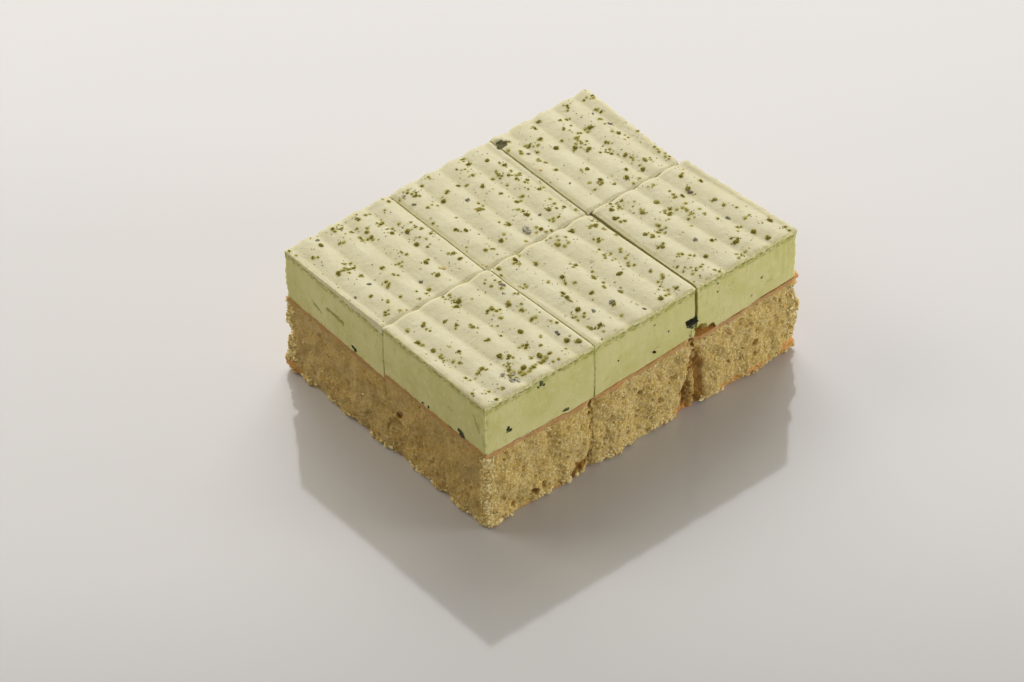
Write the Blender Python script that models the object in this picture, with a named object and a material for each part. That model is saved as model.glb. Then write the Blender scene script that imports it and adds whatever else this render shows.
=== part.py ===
"""A matcha mousse cake, cut into six squares that still stand together.

Each square is three pieces that run right through it: a sponge base, a layer of mousse and a thin coat
of combed cream with matcha grains pressed into it. The front edge of the cake runs along X, the left
edge along Y, and sizes are first given in millimetres from the front left corner of the base.
"""

import math
import random

import bmesh
import bpy
from mathutils import Matrix, Vector, noise

MM = 0.001

# The whole cake
CAKE_NAME = "matcha_mousse_cake"
CAKE_LENGTH = 112.8
CAKE_HEIGHT = 45.4
BASE_CENTRE = (57.1, 43.95)

# The knife cuts: for each row its near and far edge, and where its cuts start and end along X
ROW_EDGES = {"front": (0.0, 43.1), "back": (43.1, 86.3)}
CUT_LINES = {
    "front": ((0.0, 0.0), (38.3, 37.3), (75.3, 74.3), (112.8, 109.9)),
    "back": ((0.0, 0.0), (36.6, 37.0), (73.5, 74.0), (107.8, 110.3)),
}
COLUMNS = (1, 2, 3)
KNIFE_GAP = 0.4
OPEN_GAP = 1.1
OPEN_CUT = ("front", 2)
LAYER_GAP = 0.3

# The sponge: its height at three corners of each square, left front, right front and left back
SPONGE_HEIGHTS = {
    "front_1": (27.7, 26.0, 28.2),
    "front_2": (26.2, 27.2, 27.0),
    "front_3": (25.8, 27.4, 26.8),
    "back_1": (26.6, 27.0, 28.0),
    "back_2": (27.0, 27.2, 27.6),
    "back_3": (27.0, 27.4, 27.4),
}
SPONGE_GRID = 3.4
# How far the cut sponge stands out past the mousse on each side, and the furthest that a crumb reaches
SPONGE_PROUD = {"left": 0.1, "front": 0.1, "right": 1.6, "back": 1.2}
CRUMB_REACH = {"left": 0.9, "front": 0.9, "right": 3.0, "back": 2.5}
CRUMB_DEPTH = 1.8
LUMP_SIZE = 8.5
SMALL_LUMP_SIZE = 4.0
SMALL_LUMP_SHARE = 0.55
LUMP_HEIGHT = {"left": 1.3, "front": 1.3, "right": 2.4, "back": 2.4}
FOOT_UNDERCUT = 0.7
FOOT_HEIGHT = 3.0
# Under the mousse the lumps grow calmer, and the back of the sponge draws in
CALM_HEIGHTS = (22.0, 26.5)
CALM_SHARE = 0.4

# Creases where the sponge squares meet on the front: place at the top and foot, half width, depth
CREASES = (
    {"top": 37.6, "foot": 37.0, "half_width": 1.9, "depth": 1.0},
    {"top": 74.4, "foot": 72.0, "half_width": 3.0, "depth": 2.4},
)
CREASE_TOP = 22.5
CREASE_DEPTH_AT_TOP = 0.6
CREASE_WANDER = 1.2
CREASE_WANDER_LENGTH = 6.0
# A hollow torn in the left side: its middle along Y, its height, its half width and height, its depth
TORN_HOLLOW = {"along": 36.5, "height": 9.0, "half_width": 7.8, "half_height": 6.5, "depth": 1.5}
TORN_FLOOR_SHARE = 0.3

# The mousse
MOUSSE_TOP = 42.6
MOUSSE_GRID = 9.0
MOUSSE_LEVELS = 4
MOUSSE_BELLY = 0.25
BELLY_WAVE = 12.0
CHIP_LENGTH = 6.6
CHIP_HEIGHT = 4.2
CHIP_DEPTH = 3.6

# The combed cream: ridges along Y, convex between narrow valleys
CREAM_BOTTOM = MOUSSE_TOP + LAYER_GAP
RIDGE_HEIGHT = 0.7
RIDGE_PITCH = 8.6
FIRST_VALLEY = 2.0
VALLEY_ROUNDING = 0.55
COMB_BOW = 1.1
FRONT_ROW_STEP = 1.0
FRONT_ROW_LEAN = 0.055
LEAN_GROWTH = 0.9
COMB_WAVER = 0.18
COMB_WAVER_LENGTH = 41.0
RIDGE_UNEVENNESS = 0.2
RIDGE_PATCH = (14.0, 20.0)
STEPS_PER_RIDGE = 6
CREAM_GRID = 7.5
EDGE_ROLL = 0.45
EDGE_ROLL_WIDTH = 1.0
# Along the cut between the rows the front row stands a little higher
ROW_LIFT = 0.25
ROW_LIFT_WIDTH = 9.0

# The matcha grains that are large enough to be modelled
GRAINS_PER_SQUARE = 22
GRAIN_RADIUS = (0.42, 0.78)
GRAIN_MARGIN = 1.9
GRAIN_FLATNESS = 0.8
GRAIN_UNEVENNESS = (0.7, 1.25)
GRAIN_TRIES = 2
GRAIN_SEED = 14

# The finish of each layer: its colour as linear red, green and blue, and its roughness
FINISHES = {
    "sponge": {"colour": (0.33, 0.235, 0.095), "roughness": 0.9},
    "mousse": {"colour": (0.42, 0.46, 0.17), "roughness": 0.45},
    "cream": {"colour": (0.66, 0.66, 0.42), "roughness": 0.6},
}


class Square:
    """One square of the cake: the straight knife cuts round it, and which of its sides show."""

    def __init__(self, row, column):
        self.row = row
        self.column = column
        self.name = f"{row}_{column}"
        self.sides = set()
        near, far = ROW_EDGES[row]
        if row == "front":
            self.sides.add("front")
            self.near, self.far = near, far - KNIFE_GAP / 2
        else:
            self.sides.add("back")
            self.near, self.far = near + KNIFE_GAP / 2, far
        if column == COLUMNS[0]:
            self.sides.add("left")
        if column == COLUMNS[-1]:
            self.sides.add("right")
        self.left_inset = 0.0 if "left" in self.sides else self.gap(column - 1) / 2
        self.right_inset = 0.0 if "right" in self.sides else self.gap(column) / 2

    def gap(self, cut):
        return OPEN_GAP if (self.row, cut) == OPEN_CUT else KNIFE_GAP

    def cut_at(self, cut, y):
        """Where a cut of this row is along X, at y."""
        start, end = CUT_LINES[self.row][cut]
        near, far = ROW_EDGES[self.row]
        return start + (end - start) * (y - near) / (far - near)

    def left_at(self, y):
        return self.cut_at(self.column - 1, y) + self.left_inset

    def right_at(self, y):
        return self.cut_at(self.column, y) - self.right_inset

    def width(self):
        return self.right_at(self.near) - self.left_at(self.near)

    def depth(self):
        return self.far - self.near

    def sponge_height(self, x, y):
        """The flat top of this square's sponge, which is seldom quite level."""
        left_front, right_front, left_back = SPONGE_HEIGHTS[self.name]
        across = (x - self.left_at(self.near)) / self.width()
        along = (y - self.near) / self.depth()
        return left_front + (right_front - left_front) * across + (left_back - left_front) * along


def smooth_step(low, high, value):
    share = min(1.0, max(0.0, (value - low) / (high - low)))
    return share * share * (3.0 - 2.0 * share)


def crumb_lumps(x, y, z):
    """Uneven lumps of cut crumb, from about -1 to 1."""
    place = Vector((x, y, z))
    return noise.noise(place / LUMP_SIZE) + SMALL_LUMP_SHARE * noise.noise(place / SMALL_LUMP_SIZE)


def crease_depth(x, z):
    """How far the sponge draws in beside the cuts on the front, most near the foot."""
    depth = 0.0
    share = min(1.0, z / CREASE_TOP)
    for crease in CREASES:
        middle = crease["foot"] + (crease["top"] - crease["foot"]) * share
        middle += CREASE_WANDER * noise.noise(Vector((0.0, crease["foot"], z)) / CREASE_WANDER_LENGTH)
        reach = max(0.0, 1.0 - abs(x - middle) / crease["half_width"])
        depth += crease["depth"] * reach * (1.0 + (CREASE_DEPTH_AT_TOP - 1.0) * share)
    return depth


def torn_depth(y, z):
    across = (y - TORN_HOLLOW["along"]) / TORN_HOLLOW["half_width"]
    up = (z - TORN_HOLLOW["height"]) / TORN_HOLLOW["half_height"]
    return TORN_HOLLOW["depth"] * (1.0 - smooth_step(TORN_FLOOR_SHARE, 1.0, math.hypot(across, up)))


def sponge_offset(side, x, y, z):
    """How far a point of the sponge's cut side stands out past the mousse above it."""
    calm = smooth_step(*CALM_HEIGHTS, z)
    lumps = LUMP_HEIGHT[side] * crumb_lumps(x, y, z)
    offset = SPONGE_PROUD[side] + lumps * (1.0 + (CALM_SHARE - 1.0) * calm)
    offset -= FOOT_UNDERCUT * (1.0 - smooth_step(0.0, FOOT_HEIGHT, z))
    if side == "back":
        offset -= SPONGE_PROUD[side] * calm
    if side == "front":
        offset -= crease_depth(x, z)
    if side == "left":
        offset -= torn_depth(y, z)
    return min(CRUMB_REACH[side], max(-CRUMB_DEPTH, offset))


def comb_phase(row, x, y):
    """Counts the comb's valleys along X: a whole number is the bottom of a valley."""
    share = x / CAKE_LENGTH
    shift = FIRST_VALLEY + COMB_BOW * math.sin(math.pi * share)
    shift += COMB_WAVER * math.sin(math.tau * (y + x) / COMB_WAVER_LENGTH)
    if row == "front":
        lean = FRONT_ROW_LEAN * (1.0 + LEAN_GROWTH * share)
        shift += FRONT_ROW_STEP * (1.0 + share) + lean * (ROW_EDGES[row][1] - y)
    return (x - shift) / RIDGE_PITCH


def cream_height(square, x, y):
    """The combed top: a parabola over each ridge, rounded in the valleys and rolled at the edges."""
    phase = comb_phase(square.row, x, y)
    half = RIDGE_PITCH / 2
    from_valley = abs(phase - round(phase)) * RIDGE_PITCH
    rounded = math.hypot(from_valley, VALLEY_ROUNDING) - VALLEY_ROUNDING
    ridge = 1.0 - ((half - rounded) / half) ** 2
    patch = Vector((x / RIDGE_PATCH[0], y / RIDGE_PATCH[1], 0.0))
    strength = 1.0 + RIDGE_UNEVENNESS * noise.noise(patch)
    height = CAKE_HEIGHT - RIDGE_HEIGHT * strength * (1.0 - ridge)
    if square.row == "front":
        height += ROW_LIFT * smooth_step(square.far - ROW_LIFT_WIDTH, square.far, y)
    edges = (
        x - square.left_at(y),
        square.right_at(y) - x,
        y - square.near,
        square.far - y,
    )
    for distance in edges:
        height -= EDGE_ROLL * (1.0 - smooth_step(0.0, EDGE_ROLL_WIDTH, distance))
    return height


def even_shares(length, step):
    """Shares of a length, at even steps and without its ends."""
    count = max(1, round(length / step))
    return [i / count for i in range(1, count)]


def cut_block(across, along, up):
    """A unit cube cut by planes at the given shares of its width, depth and height."""
    block = bmesh.new()
    bmesh.ops.create_cube(block, size=1.0, matrix=Matrix.Translation((0.5, 0.5, 0.5)))
    for axis, shares in enumerate((across, along, up)):
        normal = Vector((0.0, 0.0, 0.0))
        normal[axis] = 1.0
        for share in shares:
            everything = block.verts[:] + block.edges[:] + block.faces[:]
            bmesh.ops.bisect_plane(block, geom=everything, plane_co=normal * share, plane_no=normal)
    return block


def on_side(square, share):
    """The sides that show which a corner of the unit block lies on."""
    ends = {"left": share.x < 1e-6, "right": share.x > 1 - 1e-6,
            "front": share.y < 1e-6, "back": share.y > 1 - 1e-6}
    return [side for side in square.sides if ends[side]]


def flat_sides(block, square, keep_top):
    """The faces of a unit block that stay flat, in one list for each side of the block."""
    groups = {}
    for face in block.faces:
        normal = face.normal
        if normal.z < -0.5:
            groups.setdefault("bottom", []).append(face)
        elif normal.z > 0.5 and not keep_top:
            groups.setdefault("top", []).append(face)
        elif normal.x < -0.5 and "left" not in square.sides:
            groups.setdefault("left", []).append(face)
        elif normal.x > 0.5 and "right" not in square.sides:
            groups.setdefault("right", []).append(face)
        elif normal.y < -0.5 and "front" not in square.sides:
            groups.setdefault("front", []).append(face)
        elif normal.y > 0.5 and "back" not in square.sides:
            groups.setdefault("back", []).append(face)
    return list(groups.values())


def shape_block(block, square, offset, height, keep_top=False):
    """Moves a unit block's corners to the square, with an offset on each side that shows."""
    block.normal_update()
    flats = flat_sides(block, square, keep_top)
    for corner in block.verts:
        share = corner.co.copy()
        sides = on_side(square, share)
        y = square.near + square.depth() * share.y
        x = square.left_at(y) + (square.right_at(y) - square.left_at(y)) * share.x
        z = height(x, y, share.z)
        out = {side: offset(side, x, y, z) for side in sides}
        y += out.get("back", 0.0) - out.get("front", 0.0)
        x = square.left_at(y) + (square.right_at(y) - square.left_at(y)) * share.x
        x += out.get("right", 0.0) - out.get("left", 0.0)
        z = height(x, y, share.z)
        corner.co = Vector((x - BASE_CENTRE[0], y - BASE_CENTRE[1], z)) * MM
    for faces in flats:
        bmesh.ops.dissolve_faces(block, faces=faces, use_verts=True)


def finish_piece(block, layer, square, collection):
    name = f"{layer}_{square.name}"
    mesh = bpy.data.meshes.new(name)
    block.to_mesh(mesh)
    block.free()
    mesh.materials.append(make_material(name, FINISHES[layer]))
    piece = bpy.data.objects.new(name, mesh)
    collection.objects.link(piece)
    return piece


def make_sponge(square, collection):
    """The sponge base: lumpy crumb on the sides that show, flat where the knife parted the squares."""

    def height(x, y, share):
        return share * square.sponge_height(x, y)

    block = cut_block(
        even_shares(square.width(), SPONGE_GRID),
        even_shares(square.depth(), SPONGE_GRID),
        even_shares(square.sponge_height(square.left_at(square.near), square.near), SPONGE_GRID),
    )
    shape_block(block, square, sponge_offset, height)
    return finish_piece(block, "sponge", square, collection)


def make_mousse(square, collection):
    """The mousse layer: smooth knife-cut sides with a slight belly."""

    def height(x, y, share):
        low = square.sponge_height(x, y) + LAYER_GAP
        return low + (MOUSSE_TOP - low) * share

    def belly(side, x, y, z):
        low = square.sponge_height(x, y)
        share = min(1.0, max(0.0, (z - low) / (MOUSSE_TOP - low)))
        wave = 1.0 + noise.noise(Vector((x, y, 0.0)) / BELLY_WAVE)
        return MOUSSE_BELLY * math.sin(math.pi * share) * wave

    block = cut_block(
        even_shares(square.width(), MOUSSE_GRID),
        even_shares(square.depth(), MOUSSE_GRID),
        even_shares(1.0, 1.0 / MOUSSE_LEVELS),
    )
    shape_block(block, square, belly, height)
    return finish_piece(block, "mousse", square, collection)


def cream_steps(length, step):
    """Even shares with one more line close to each end, for the rolled edge."""
    roll = EDGE_ROLL_WIDTH / length
    room = EDGE_ROLL_WIDTH * 1.5 / length
    inner = [share for share in even_shares(length, step) if room < share < 1.0 - room]
    return [roll, *inner, 1.0 - roll]


def make_cream(square, collection):
    """The coat of combed cream, before its grains are joined to it."""

    def height(x, y, share):
        return CREAM_BOTTOM + (cream_height(square, x, y) - CREAM_BOTTOM) * share

    def no_offset(side, x, y, z):
        return 0.0

    block = cut_block(
        cream_steps(square.width(), RIDGE_PITCH / STEPS_PER_RIDGE),
        cream_steps(square.depth(), CREAM_GRID),
        [],
    )
    shape_block(block, square, no_offset, height, keep_top=True)
    return finish_piece(block, "cream", square, collection)


def grain_spots(square):
    """Places and radii of this square's largest grains: of a few seeded tries the roomiest is kept."""
    draw = random.Random(f"{GRAIN_SEED} {square.name}")
    spots = []
    for _ in range(GRAINS_PER_SQUARE):
        tries = []
        for _ in range(GRAIN_TRIES):
            y = draw.uniform(square.near + GRAIN_MARGIN, square.far - GRAIN_MARGIN)
            x = draw.uniform(square.left_at(y) + GRAIN_MARGIN, square.right_at(y) - GRAIN_MARGIN)
            tries.append((x, y))

        def room(spot):
            return min((math.dist(spot, other[:2]) for other in spots), default=0.0)

        x, y = max(tries, key=room)
        spots.append((x, y, draw.uniform(*GRAIN_RADIUS)))
    return spots


def make_grain(square, number, spot, collection):
    """One matcha grain: an uneven nugget, partly sunk in the cream."""
    x, y, radius = spot
    draw = random.Random(f"{square.name} {number}")
    nugget = bmesh.new()
    bmesh.ops.create_icosphere(nugget, subdivisions=1, radius=radius * MM)
    turn = Matrix.Rotation(draw.uniform(0.0, math.tau), 3, Vector((draw.random(), draw.random(), 1.0)))
    for corner in nugget.verts:
        corner.co = turn @ (corner.co * draw.uniform(*GRAIN_UNEVENNESS))
        corner.co.z *= GRAIN_FLATNESS
    place = Vector((x - BASE_CENTRE[0], y - BASE_CENTRE[1], cream_height(square, x, y))) * MM
    bmesh.ops.translate(nugget, verts=nugget.verts, vec=place)
    mesh = bpy.data.meshes.new(f"grain_{square.name}_{number}")
    nugget.to_mesh(mesh)
    nugget.free()
    grain = bpy.data.objects.new(mesh.name, mesh)
    grain.hide_render = True
    grain.display_type = "WIRE"
    collection.objects.link(grain)
    return grain


def join_grains(cream, square, scratch):
    """Joins the grains to the cream in one union, applies it and removes the loose grains."""
    grains = bpy.data.collections.new(f"grains_{square.name}")
    scratch.children.link(grains)
    for number, spot in enumerate(grain_spots(square)):
        make_grain(square, number, spot, grains)
    union = cream.modifiers.new("grains", "BOOLEAN")
    union.operation = "UNION"
    union.operand_type = "COLLECTION"
    union.collection = grains
    union.solver = "EXACT"
    apply_modifiers(cream)
    for grain in list(grains.objects):
        bpy.data.objects.remove(grain)
    bpy.data.collections.remove(grains)


def apply_modifiers(piece):
    """Replaces a piece's mesh with the one that its modifiers make."""
    graph = bpy.context.evaluated_depsgraph_get()
    graph.update()
    evaluated = piece.evaluated_get(graph)
    mesh = bpy.data.meshes.new_from_object(evaluated)
    piece.modifiers.clear()
    piece.data = mesh


def chip_mousse(mousse, square, cutters):
    """Breaks the corner off the mousse beside the open cut, down to the sponge's skin."""
    left = square.left_at(square.near)
    low = square.sponge_height(left, square.near)
    slope = math.atan2(CHIP_HEIGHT, CHIP_LENGTH)
    size = Vector((4 * CHIP_LENGTH, 2 * CHIP_DEPTH, 2 * CHIP_LENGTH)) * MM
    wedge = bmesh.new()
    bmesh.ops.create_cube(wedge, size=1.0)
    bmesh.ops.scale(wedge, verts=wedge.verts, vec=size)
    bmesh.ops.translate(wedge, verts=wedge.verts, vec=Vector((0.0, 0.0, -size.z / 2)))
    mesh = bpy.data.meshes.new("chip")
    wedge.to_mesh(mesh)
    wedge.free()
    cutter = bpy.data.objects.new("chip", mesh)
    corner = Vector((left - BASE_CENTRE[0], square.near - BASE_CENTRE[1], low + CHIP_HEIGHT))
    cutter.location = corner * MM
    cutter.rotation_euler = (0.0, slope, 0.0)
    cutter.hide_render = True
    cutter.display_type = "WIRE"
    cutters.objects.link(cutter)
    cut = mousse.modifiers.new("chip", "BOOLEAN")
    cut.operation = "DIFFERENCE"
    cut.object = cutter
    cut.solver = "EXACT"


def make_material(name, finish):
    material = bpy.data.materials.new(name)
    material.use_nodes = True
    shader = material.node_tree.nodes["Principled BSDF"]
    shader.inputs["Base Color"].default_value = (*finish["colour"], 1.0)
    shader.inputs["Roughness"].default_value = finish["roughness"]
    shader.inputs["Metallic"].default_value = 0.0
    return material


def clear_scene():
    for thing in list(bpy.data.objects):
        bpy.data.objects.remove(thing)


def build_cake():
    clear_scene()
    cake = bpy.data.collections.new(CAKE_NAME)
    cutters = bpy.data.collections.new("cutters")
    for collection in (cake, cutters):
        bpy.context.scene.collection.children.link(collection)
    for row in ROW_EDGES:
        for column in COLUMNS:
            square = Square(row, column)
            make_sponge(square, cake)
            mousse = make_mousse(square, cake)
            cream = make_cream(square, cake)
            join_grains(cream, square, cutters)
            if (row, column - 1) == OPEN_CUT:
                chip_mousse(mousse, square, cutters)


build_cake()
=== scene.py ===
# %% [markdown]
# # A matcha mousse cake, cut in six
# The real cake is a slab of three layers: a browned sponge, a set green mousse, and a thin coat of cream
# that was drawn with a comb and dusted with matcha. A knife then parted it into six squares, which still
# stand together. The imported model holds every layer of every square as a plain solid. This lesson gives
# each of them its real surface. It starts from the same measures and formulas as the solids, so a new
# piece always lies where its solid is.

import math
import random

import bmesh
import bpy
import numpy as np
from mathutils import Matrix, Vector, kdtree, noise


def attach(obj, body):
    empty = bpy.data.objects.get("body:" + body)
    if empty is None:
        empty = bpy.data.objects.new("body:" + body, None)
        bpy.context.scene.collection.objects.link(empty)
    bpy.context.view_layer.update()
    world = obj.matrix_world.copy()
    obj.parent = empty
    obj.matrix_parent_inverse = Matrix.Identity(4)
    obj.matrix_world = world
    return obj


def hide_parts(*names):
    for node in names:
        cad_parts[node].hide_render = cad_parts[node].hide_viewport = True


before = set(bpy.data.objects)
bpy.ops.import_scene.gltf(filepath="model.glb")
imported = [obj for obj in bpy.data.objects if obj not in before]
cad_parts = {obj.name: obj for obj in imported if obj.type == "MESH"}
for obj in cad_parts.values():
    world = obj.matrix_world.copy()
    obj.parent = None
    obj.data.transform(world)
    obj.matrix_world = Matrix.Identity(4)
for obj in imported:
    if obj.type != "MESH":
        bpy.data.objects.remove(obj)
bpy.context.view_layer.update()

# %% [markdown]
# ## The camera
# The cake was photographed from above its front left corner with a long lens, so its upright edges stay
# nearly parallel. A camera can be turned by hand until the picture fits, but it is easier to read later
# when it is placed at a point and aimed at another, and then rolled a little, as here.

# %% Place and aim the camera
MM = 0.001
CAMERA_PLACE = Vector((-0.5583, -0.6662, 0.7702))
CAMERA_AIM = Vector((-0.0163, -0.0062, 0.020))
CAMERA_ROLL = math.radians(-1.17)
CAMERA_LENS = 143.5


def add_to_scene(name, data):
    thing = bpy.data.objects.new(name, data)
    bpy.context.scene.collection.objects.link(thing)
    return thing


def aim(thing, place, target, roll=0.0):
    """Puts a camera or a light at a place and turns it to look at a target."""
    turn = (target - place).to_track_quat("-Z", "Y").to_matrix().to_4x4()
    thing.matrix_world = Matrix.Translation(place) @ turn @ Matrix.Rotation(roll, 4, "Z")


camera = add_to_scene("camera", bpy.data.cameras.new("camera"))
camera.data.lens = CAMERA_LENS
camera.data.sensor_width = 36.0
aim(camera, CAMERA_PLACE, CAMERA_AIM, CAMERA_ROLL)
bpy.context.scene.camera = camera
print("The camera stands", round((CAMERA_AIM - CAMERA_PLACE).length, 3), "m from the cake")

# %% [markdown]
# ## Materials as sums
# Every finish below mixes a few patterns. Wiring nodes one by one hides the idea of a finish, so a small
# class wraps an output socket: a sum or product of two wires adds the Math node that works it out, and
# one method adds a node of any other kind. Colours are written as a picture shows them, from 0 to 255,
# and turned into the linear values that the shader wants.

# %% A wire between shader nodes
class Wire:
    """One output of a material's node tree."""

    def __init__(self, tree, socket=None):
        self.tree = tree
        self.socket = socket

    def node(self, kind, settings=(), values=(), output=0):
        """Adds a node: first its settings, then the values or wires of its inputs."""
        made = self.tree.nodes.new(kind)
        for name, value in dict(settings).items():
            setattr(made, name, value)
        for name, value in dict(values).items():
            if isinstance(value, Wire):
                self.tree.links.new(value.socket, made.inputs[name])
            else:
                made.inputs[name].default_value = value
        return Wire(self.tree, made.outputs[output])

    def maths(self, operation, first, second):
        return self.node("ShaderNodeMath", {"operation": operation}, {0: first, 1: second})

    def __add__(self, other):
        return self.maths("ADD", self, other)

    def __sub__(self, other):
        return self.maths("SUBTRACT", self, other)

    def __rsub__(self, other):
        return self.maths("SUBTRACT", other, self)

    def __mul__(self, other):
        return self.maths("MULTIPLY", self, other)

    __radd__ = __add__
    __rmul__ = __mul__


def paint(red, green, blue):
    """A colour as a picture shows it, made linear for the shader."""
    linear = []
    for level in (red, green, blue):
        share = level / 255
        linear.append(share / 12.92 if share <= 0.04045 else ((share + 0.055) / 1.055) ** 2.4)
    return (*linear, 1.0)


print("Mid grey is", round(paint(128, 128, 128)[0], 3), "in linear light")

# %% [markdown]
# The patterns that every finish shares are few: a place on the piece in metres, soft noise of a given
# size, a soft step between two values, and a mix of two colours. The noise reads Object coordinates,
# because each piece lies at the origin with its place in its mesh, so a pattern never slides.

# %% Patterns that the finishes share
def new_material(name):
    """A new material, the wire that starts its patterns, and its shader node."""
    material = bpy.data.materials.new(name)
    material.use_nodes = True
    shader = material.node_tree.nodes["Principled BSDF"]
    return material, Wire(material.node_tree), shader


def plug(wire, shader, name):
    wire.tree.links.new(wire.socket, shader.inputs[name])


def object_place(start):
    return start.node("ShaderNodeTexCoord", output="Object")


def drawn_pattern(place, level, upright, detail=3.0):
    """Noise from 0 to 1 with patches as wide and as high as two sizes in millimetres."""
    scale = (1 / (level * MM), 1 / (level * MM), 1 / (upright * MM))
    stretched = place.node("ShaderNodeMapping", values={"Vector": place, "Scale": scale})
    return place.node("ShaderNodeTexNoise", values={"Vector": stretched, "Scale": 1.0, "Detail": detail})


def soft_pattern(place, size, detail=2.0, roughness=0.5):
    """Noise from 0 to 1 with patches of a size in millimetres."""
    values = {"Vector": place, "Scale": 1 / (size * MM), "Detail": detail, "Roughness": roughness}
    return place.node("ShaderNodeTexNoise", values=values)


def soft_step(wire, low, high):
    """0 below low, 1 above high, and smooth between; low may be the larger one."""
    settings = {"interpolation_type": "SMOOTHSTEP"}
    return wire.node("ShaderNodeMapRange", settings, {"Value": wire, "From Min": low, "From Max": high})


def mix_colours(share, first, second):
    return share.node("ShaderNodeMix", {"data_type": "RGBA"}, {0: share, 6: first, 7: second}, output=2)


def bumped(height, distance):
    """A Bump node for a height from 0 to 1 that stands for a distance in millimetres."""
    values = {"Height": height, "Distance": distance * MM}
    return height.node("ShaderNodeBump", values=values, output="Normal")


print("The patterns' sizes are in steps of", MM, "m")

# %% [markdown]
# Seen close up, crumb, powder and bits of leaf are all small uneven cells, which Voronoi noise gives: each
# cell has a middle, and a number of its own that says whether it is filled. Most finishes lay a few tints
# over a plain colour in turn. Where a tint goes is often a number that was stored on the mesh. What is the
# same all over a piece is set on the shader's own sockets.

# %% Cells, specks, tints and stored numbers
def tinted(colour, tints):
    """A colour with others laid over it in turn, each by its share of the surface."""
    for share, tint in tints:
        colour = mix_colours(share, colour, tint)
    return colour


def measured(start, name):
    """A number that was stored on each point of the mesh."""
    return start.node("ShaderNodeAttribute", {"attribute_name": name}, output="Fac")


def crumb_cells(place, spacing):
    """Uneven cells: how far each place is from its cell's middle, and a number for each cell."""
    values = {"Vector": place, "Scale": 1 / (spacing * MM)}
    away = place.node("ShaderNodeTexVoronoi", values=values, output="Distance")
    chance = place.node("ShaderNodeTexVoronoi", values=values, output="Color")
    return away, place.node("ShaderNodeSeparateColor", values={"Color": chance}, output="Red")


def specks(place, spacing, radius, least):
    """Small dots, 1 inside and 0 outside, in those cells whose number is over the least."""
    away, chance = crumb_cells(place, spacing)
    inside = soft_step(away, radius / spacing, 0.6 * radius / spacing)
    return inside * soft_step(chance, least, least + 0.02)


def set_values(shader, values):
    """Sets the shader's own sockets, for what stays the same all over a piece."""
    for name, value in values.items():
        shader.inputs[name].default_value = value


print("Made the cells, the specks, the tints and the reader of stored numbers")

# %% [markdown]
# ## Noise that is the same each run
# Lumps, waves and torn edges all come from Blender's smooth noise, which gives each place a number from
# about -1 to 1. A sum of it in several sizes looks natural, and is written here as sizes with their heights,
# in millimetres. Where a pattern follows only X and Y, a value whose name ends in PLANE stands in for Z, so
# that two such patterns differ. Blender shifts its vector noise by the time of day unless it has a seed.

# %% Smooth steps and smooth noise
NOISE_SEED = 5
noise.seed_set(NOISE_SEED)


def smooth_step(low, high, value):
    share = np.clip((value - low) / (high - low), 0.0, 1.0)
    return share * share * (3.0 - 2.0 * share)


def noise_at(size, *place):
    """Smooth noise, about -1 to 1, with lumps of a size in millimetres."""
    places = np.column_stack(np.broadcast_arrays(*place)) / size
    return np.array([noise.noise(point) for point in places.tolist()])


def noise_sum(layers, *place):
    """Noises of several sizes added up, from a dictionary of sizes and heights."""
    total = 0.0
    for size, height in layers.items():
        total = total + height * noise_at(size, *place)
    return total


def uneven(size, amount, *place):
    """Numbers scattered about 1, to make a measure vary by a share of itself."""
    return 1.0 + amount * noise_at(size, *place)


print("The noise at one place is", round(float(noise_at(1.0, 0.3, 0.4, 0.5)[0]), 3))

# %% [markdown]
# ## The knife cuts
# Six squares came from two rows and two cuts a row, and no cut runs quite straight. Everything else on
# the cake is measured from these cuts, in millimetres from the front left corner of the base: X along the
# front edge, Y along the left edge. A class holds one square: where it starts and ends, how much room the
# knife left beside it, and which of its sides can be seen.

# %% The six squares
CAKE_LENGTH = 112.8
CAKE_HEIGHT = 45.4
BASE_CENTRE = (57.1, 43.95)
ROW_EDGES = {"front": (0.0, 43.1), "back": (43.1, 86.3)}
CUT_LINES = {
    "front": ((0.0, 0.0), (38.3, 37.3), (75.3, 74.3), (112.8, 109.9)),
    "back": ((0.0, 0.0), (36.6, 37.0), (73.5, 74.0), (107.8, 110.3)),
}
COLUMNS = (1, 2, 3)
KNIFE_GAP = 0.4
OPEN_GAP = 1.1
OPEN_CUT = ("front", 2)
SPONGE_HEIGHTS = {
    "front_1": (27.7, 26.0, 28.2),
    "front_2": (26.2, 27.2, 27.0),
    "front_3": (25.8, 27.4, 26.8),
    "back_1": (26.6, 27.0, 28.0),
    "back_2": (27.0, 27.2, 27.6),
    "back_3": (27.0, 27.4, 27.4),
}
MEETING_WANDER = {5.5: 0.45, 2.0: 0.3}
MEETING_PLANE = 30.0
SIDES = ("left", "right", "front", "back")


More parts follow.
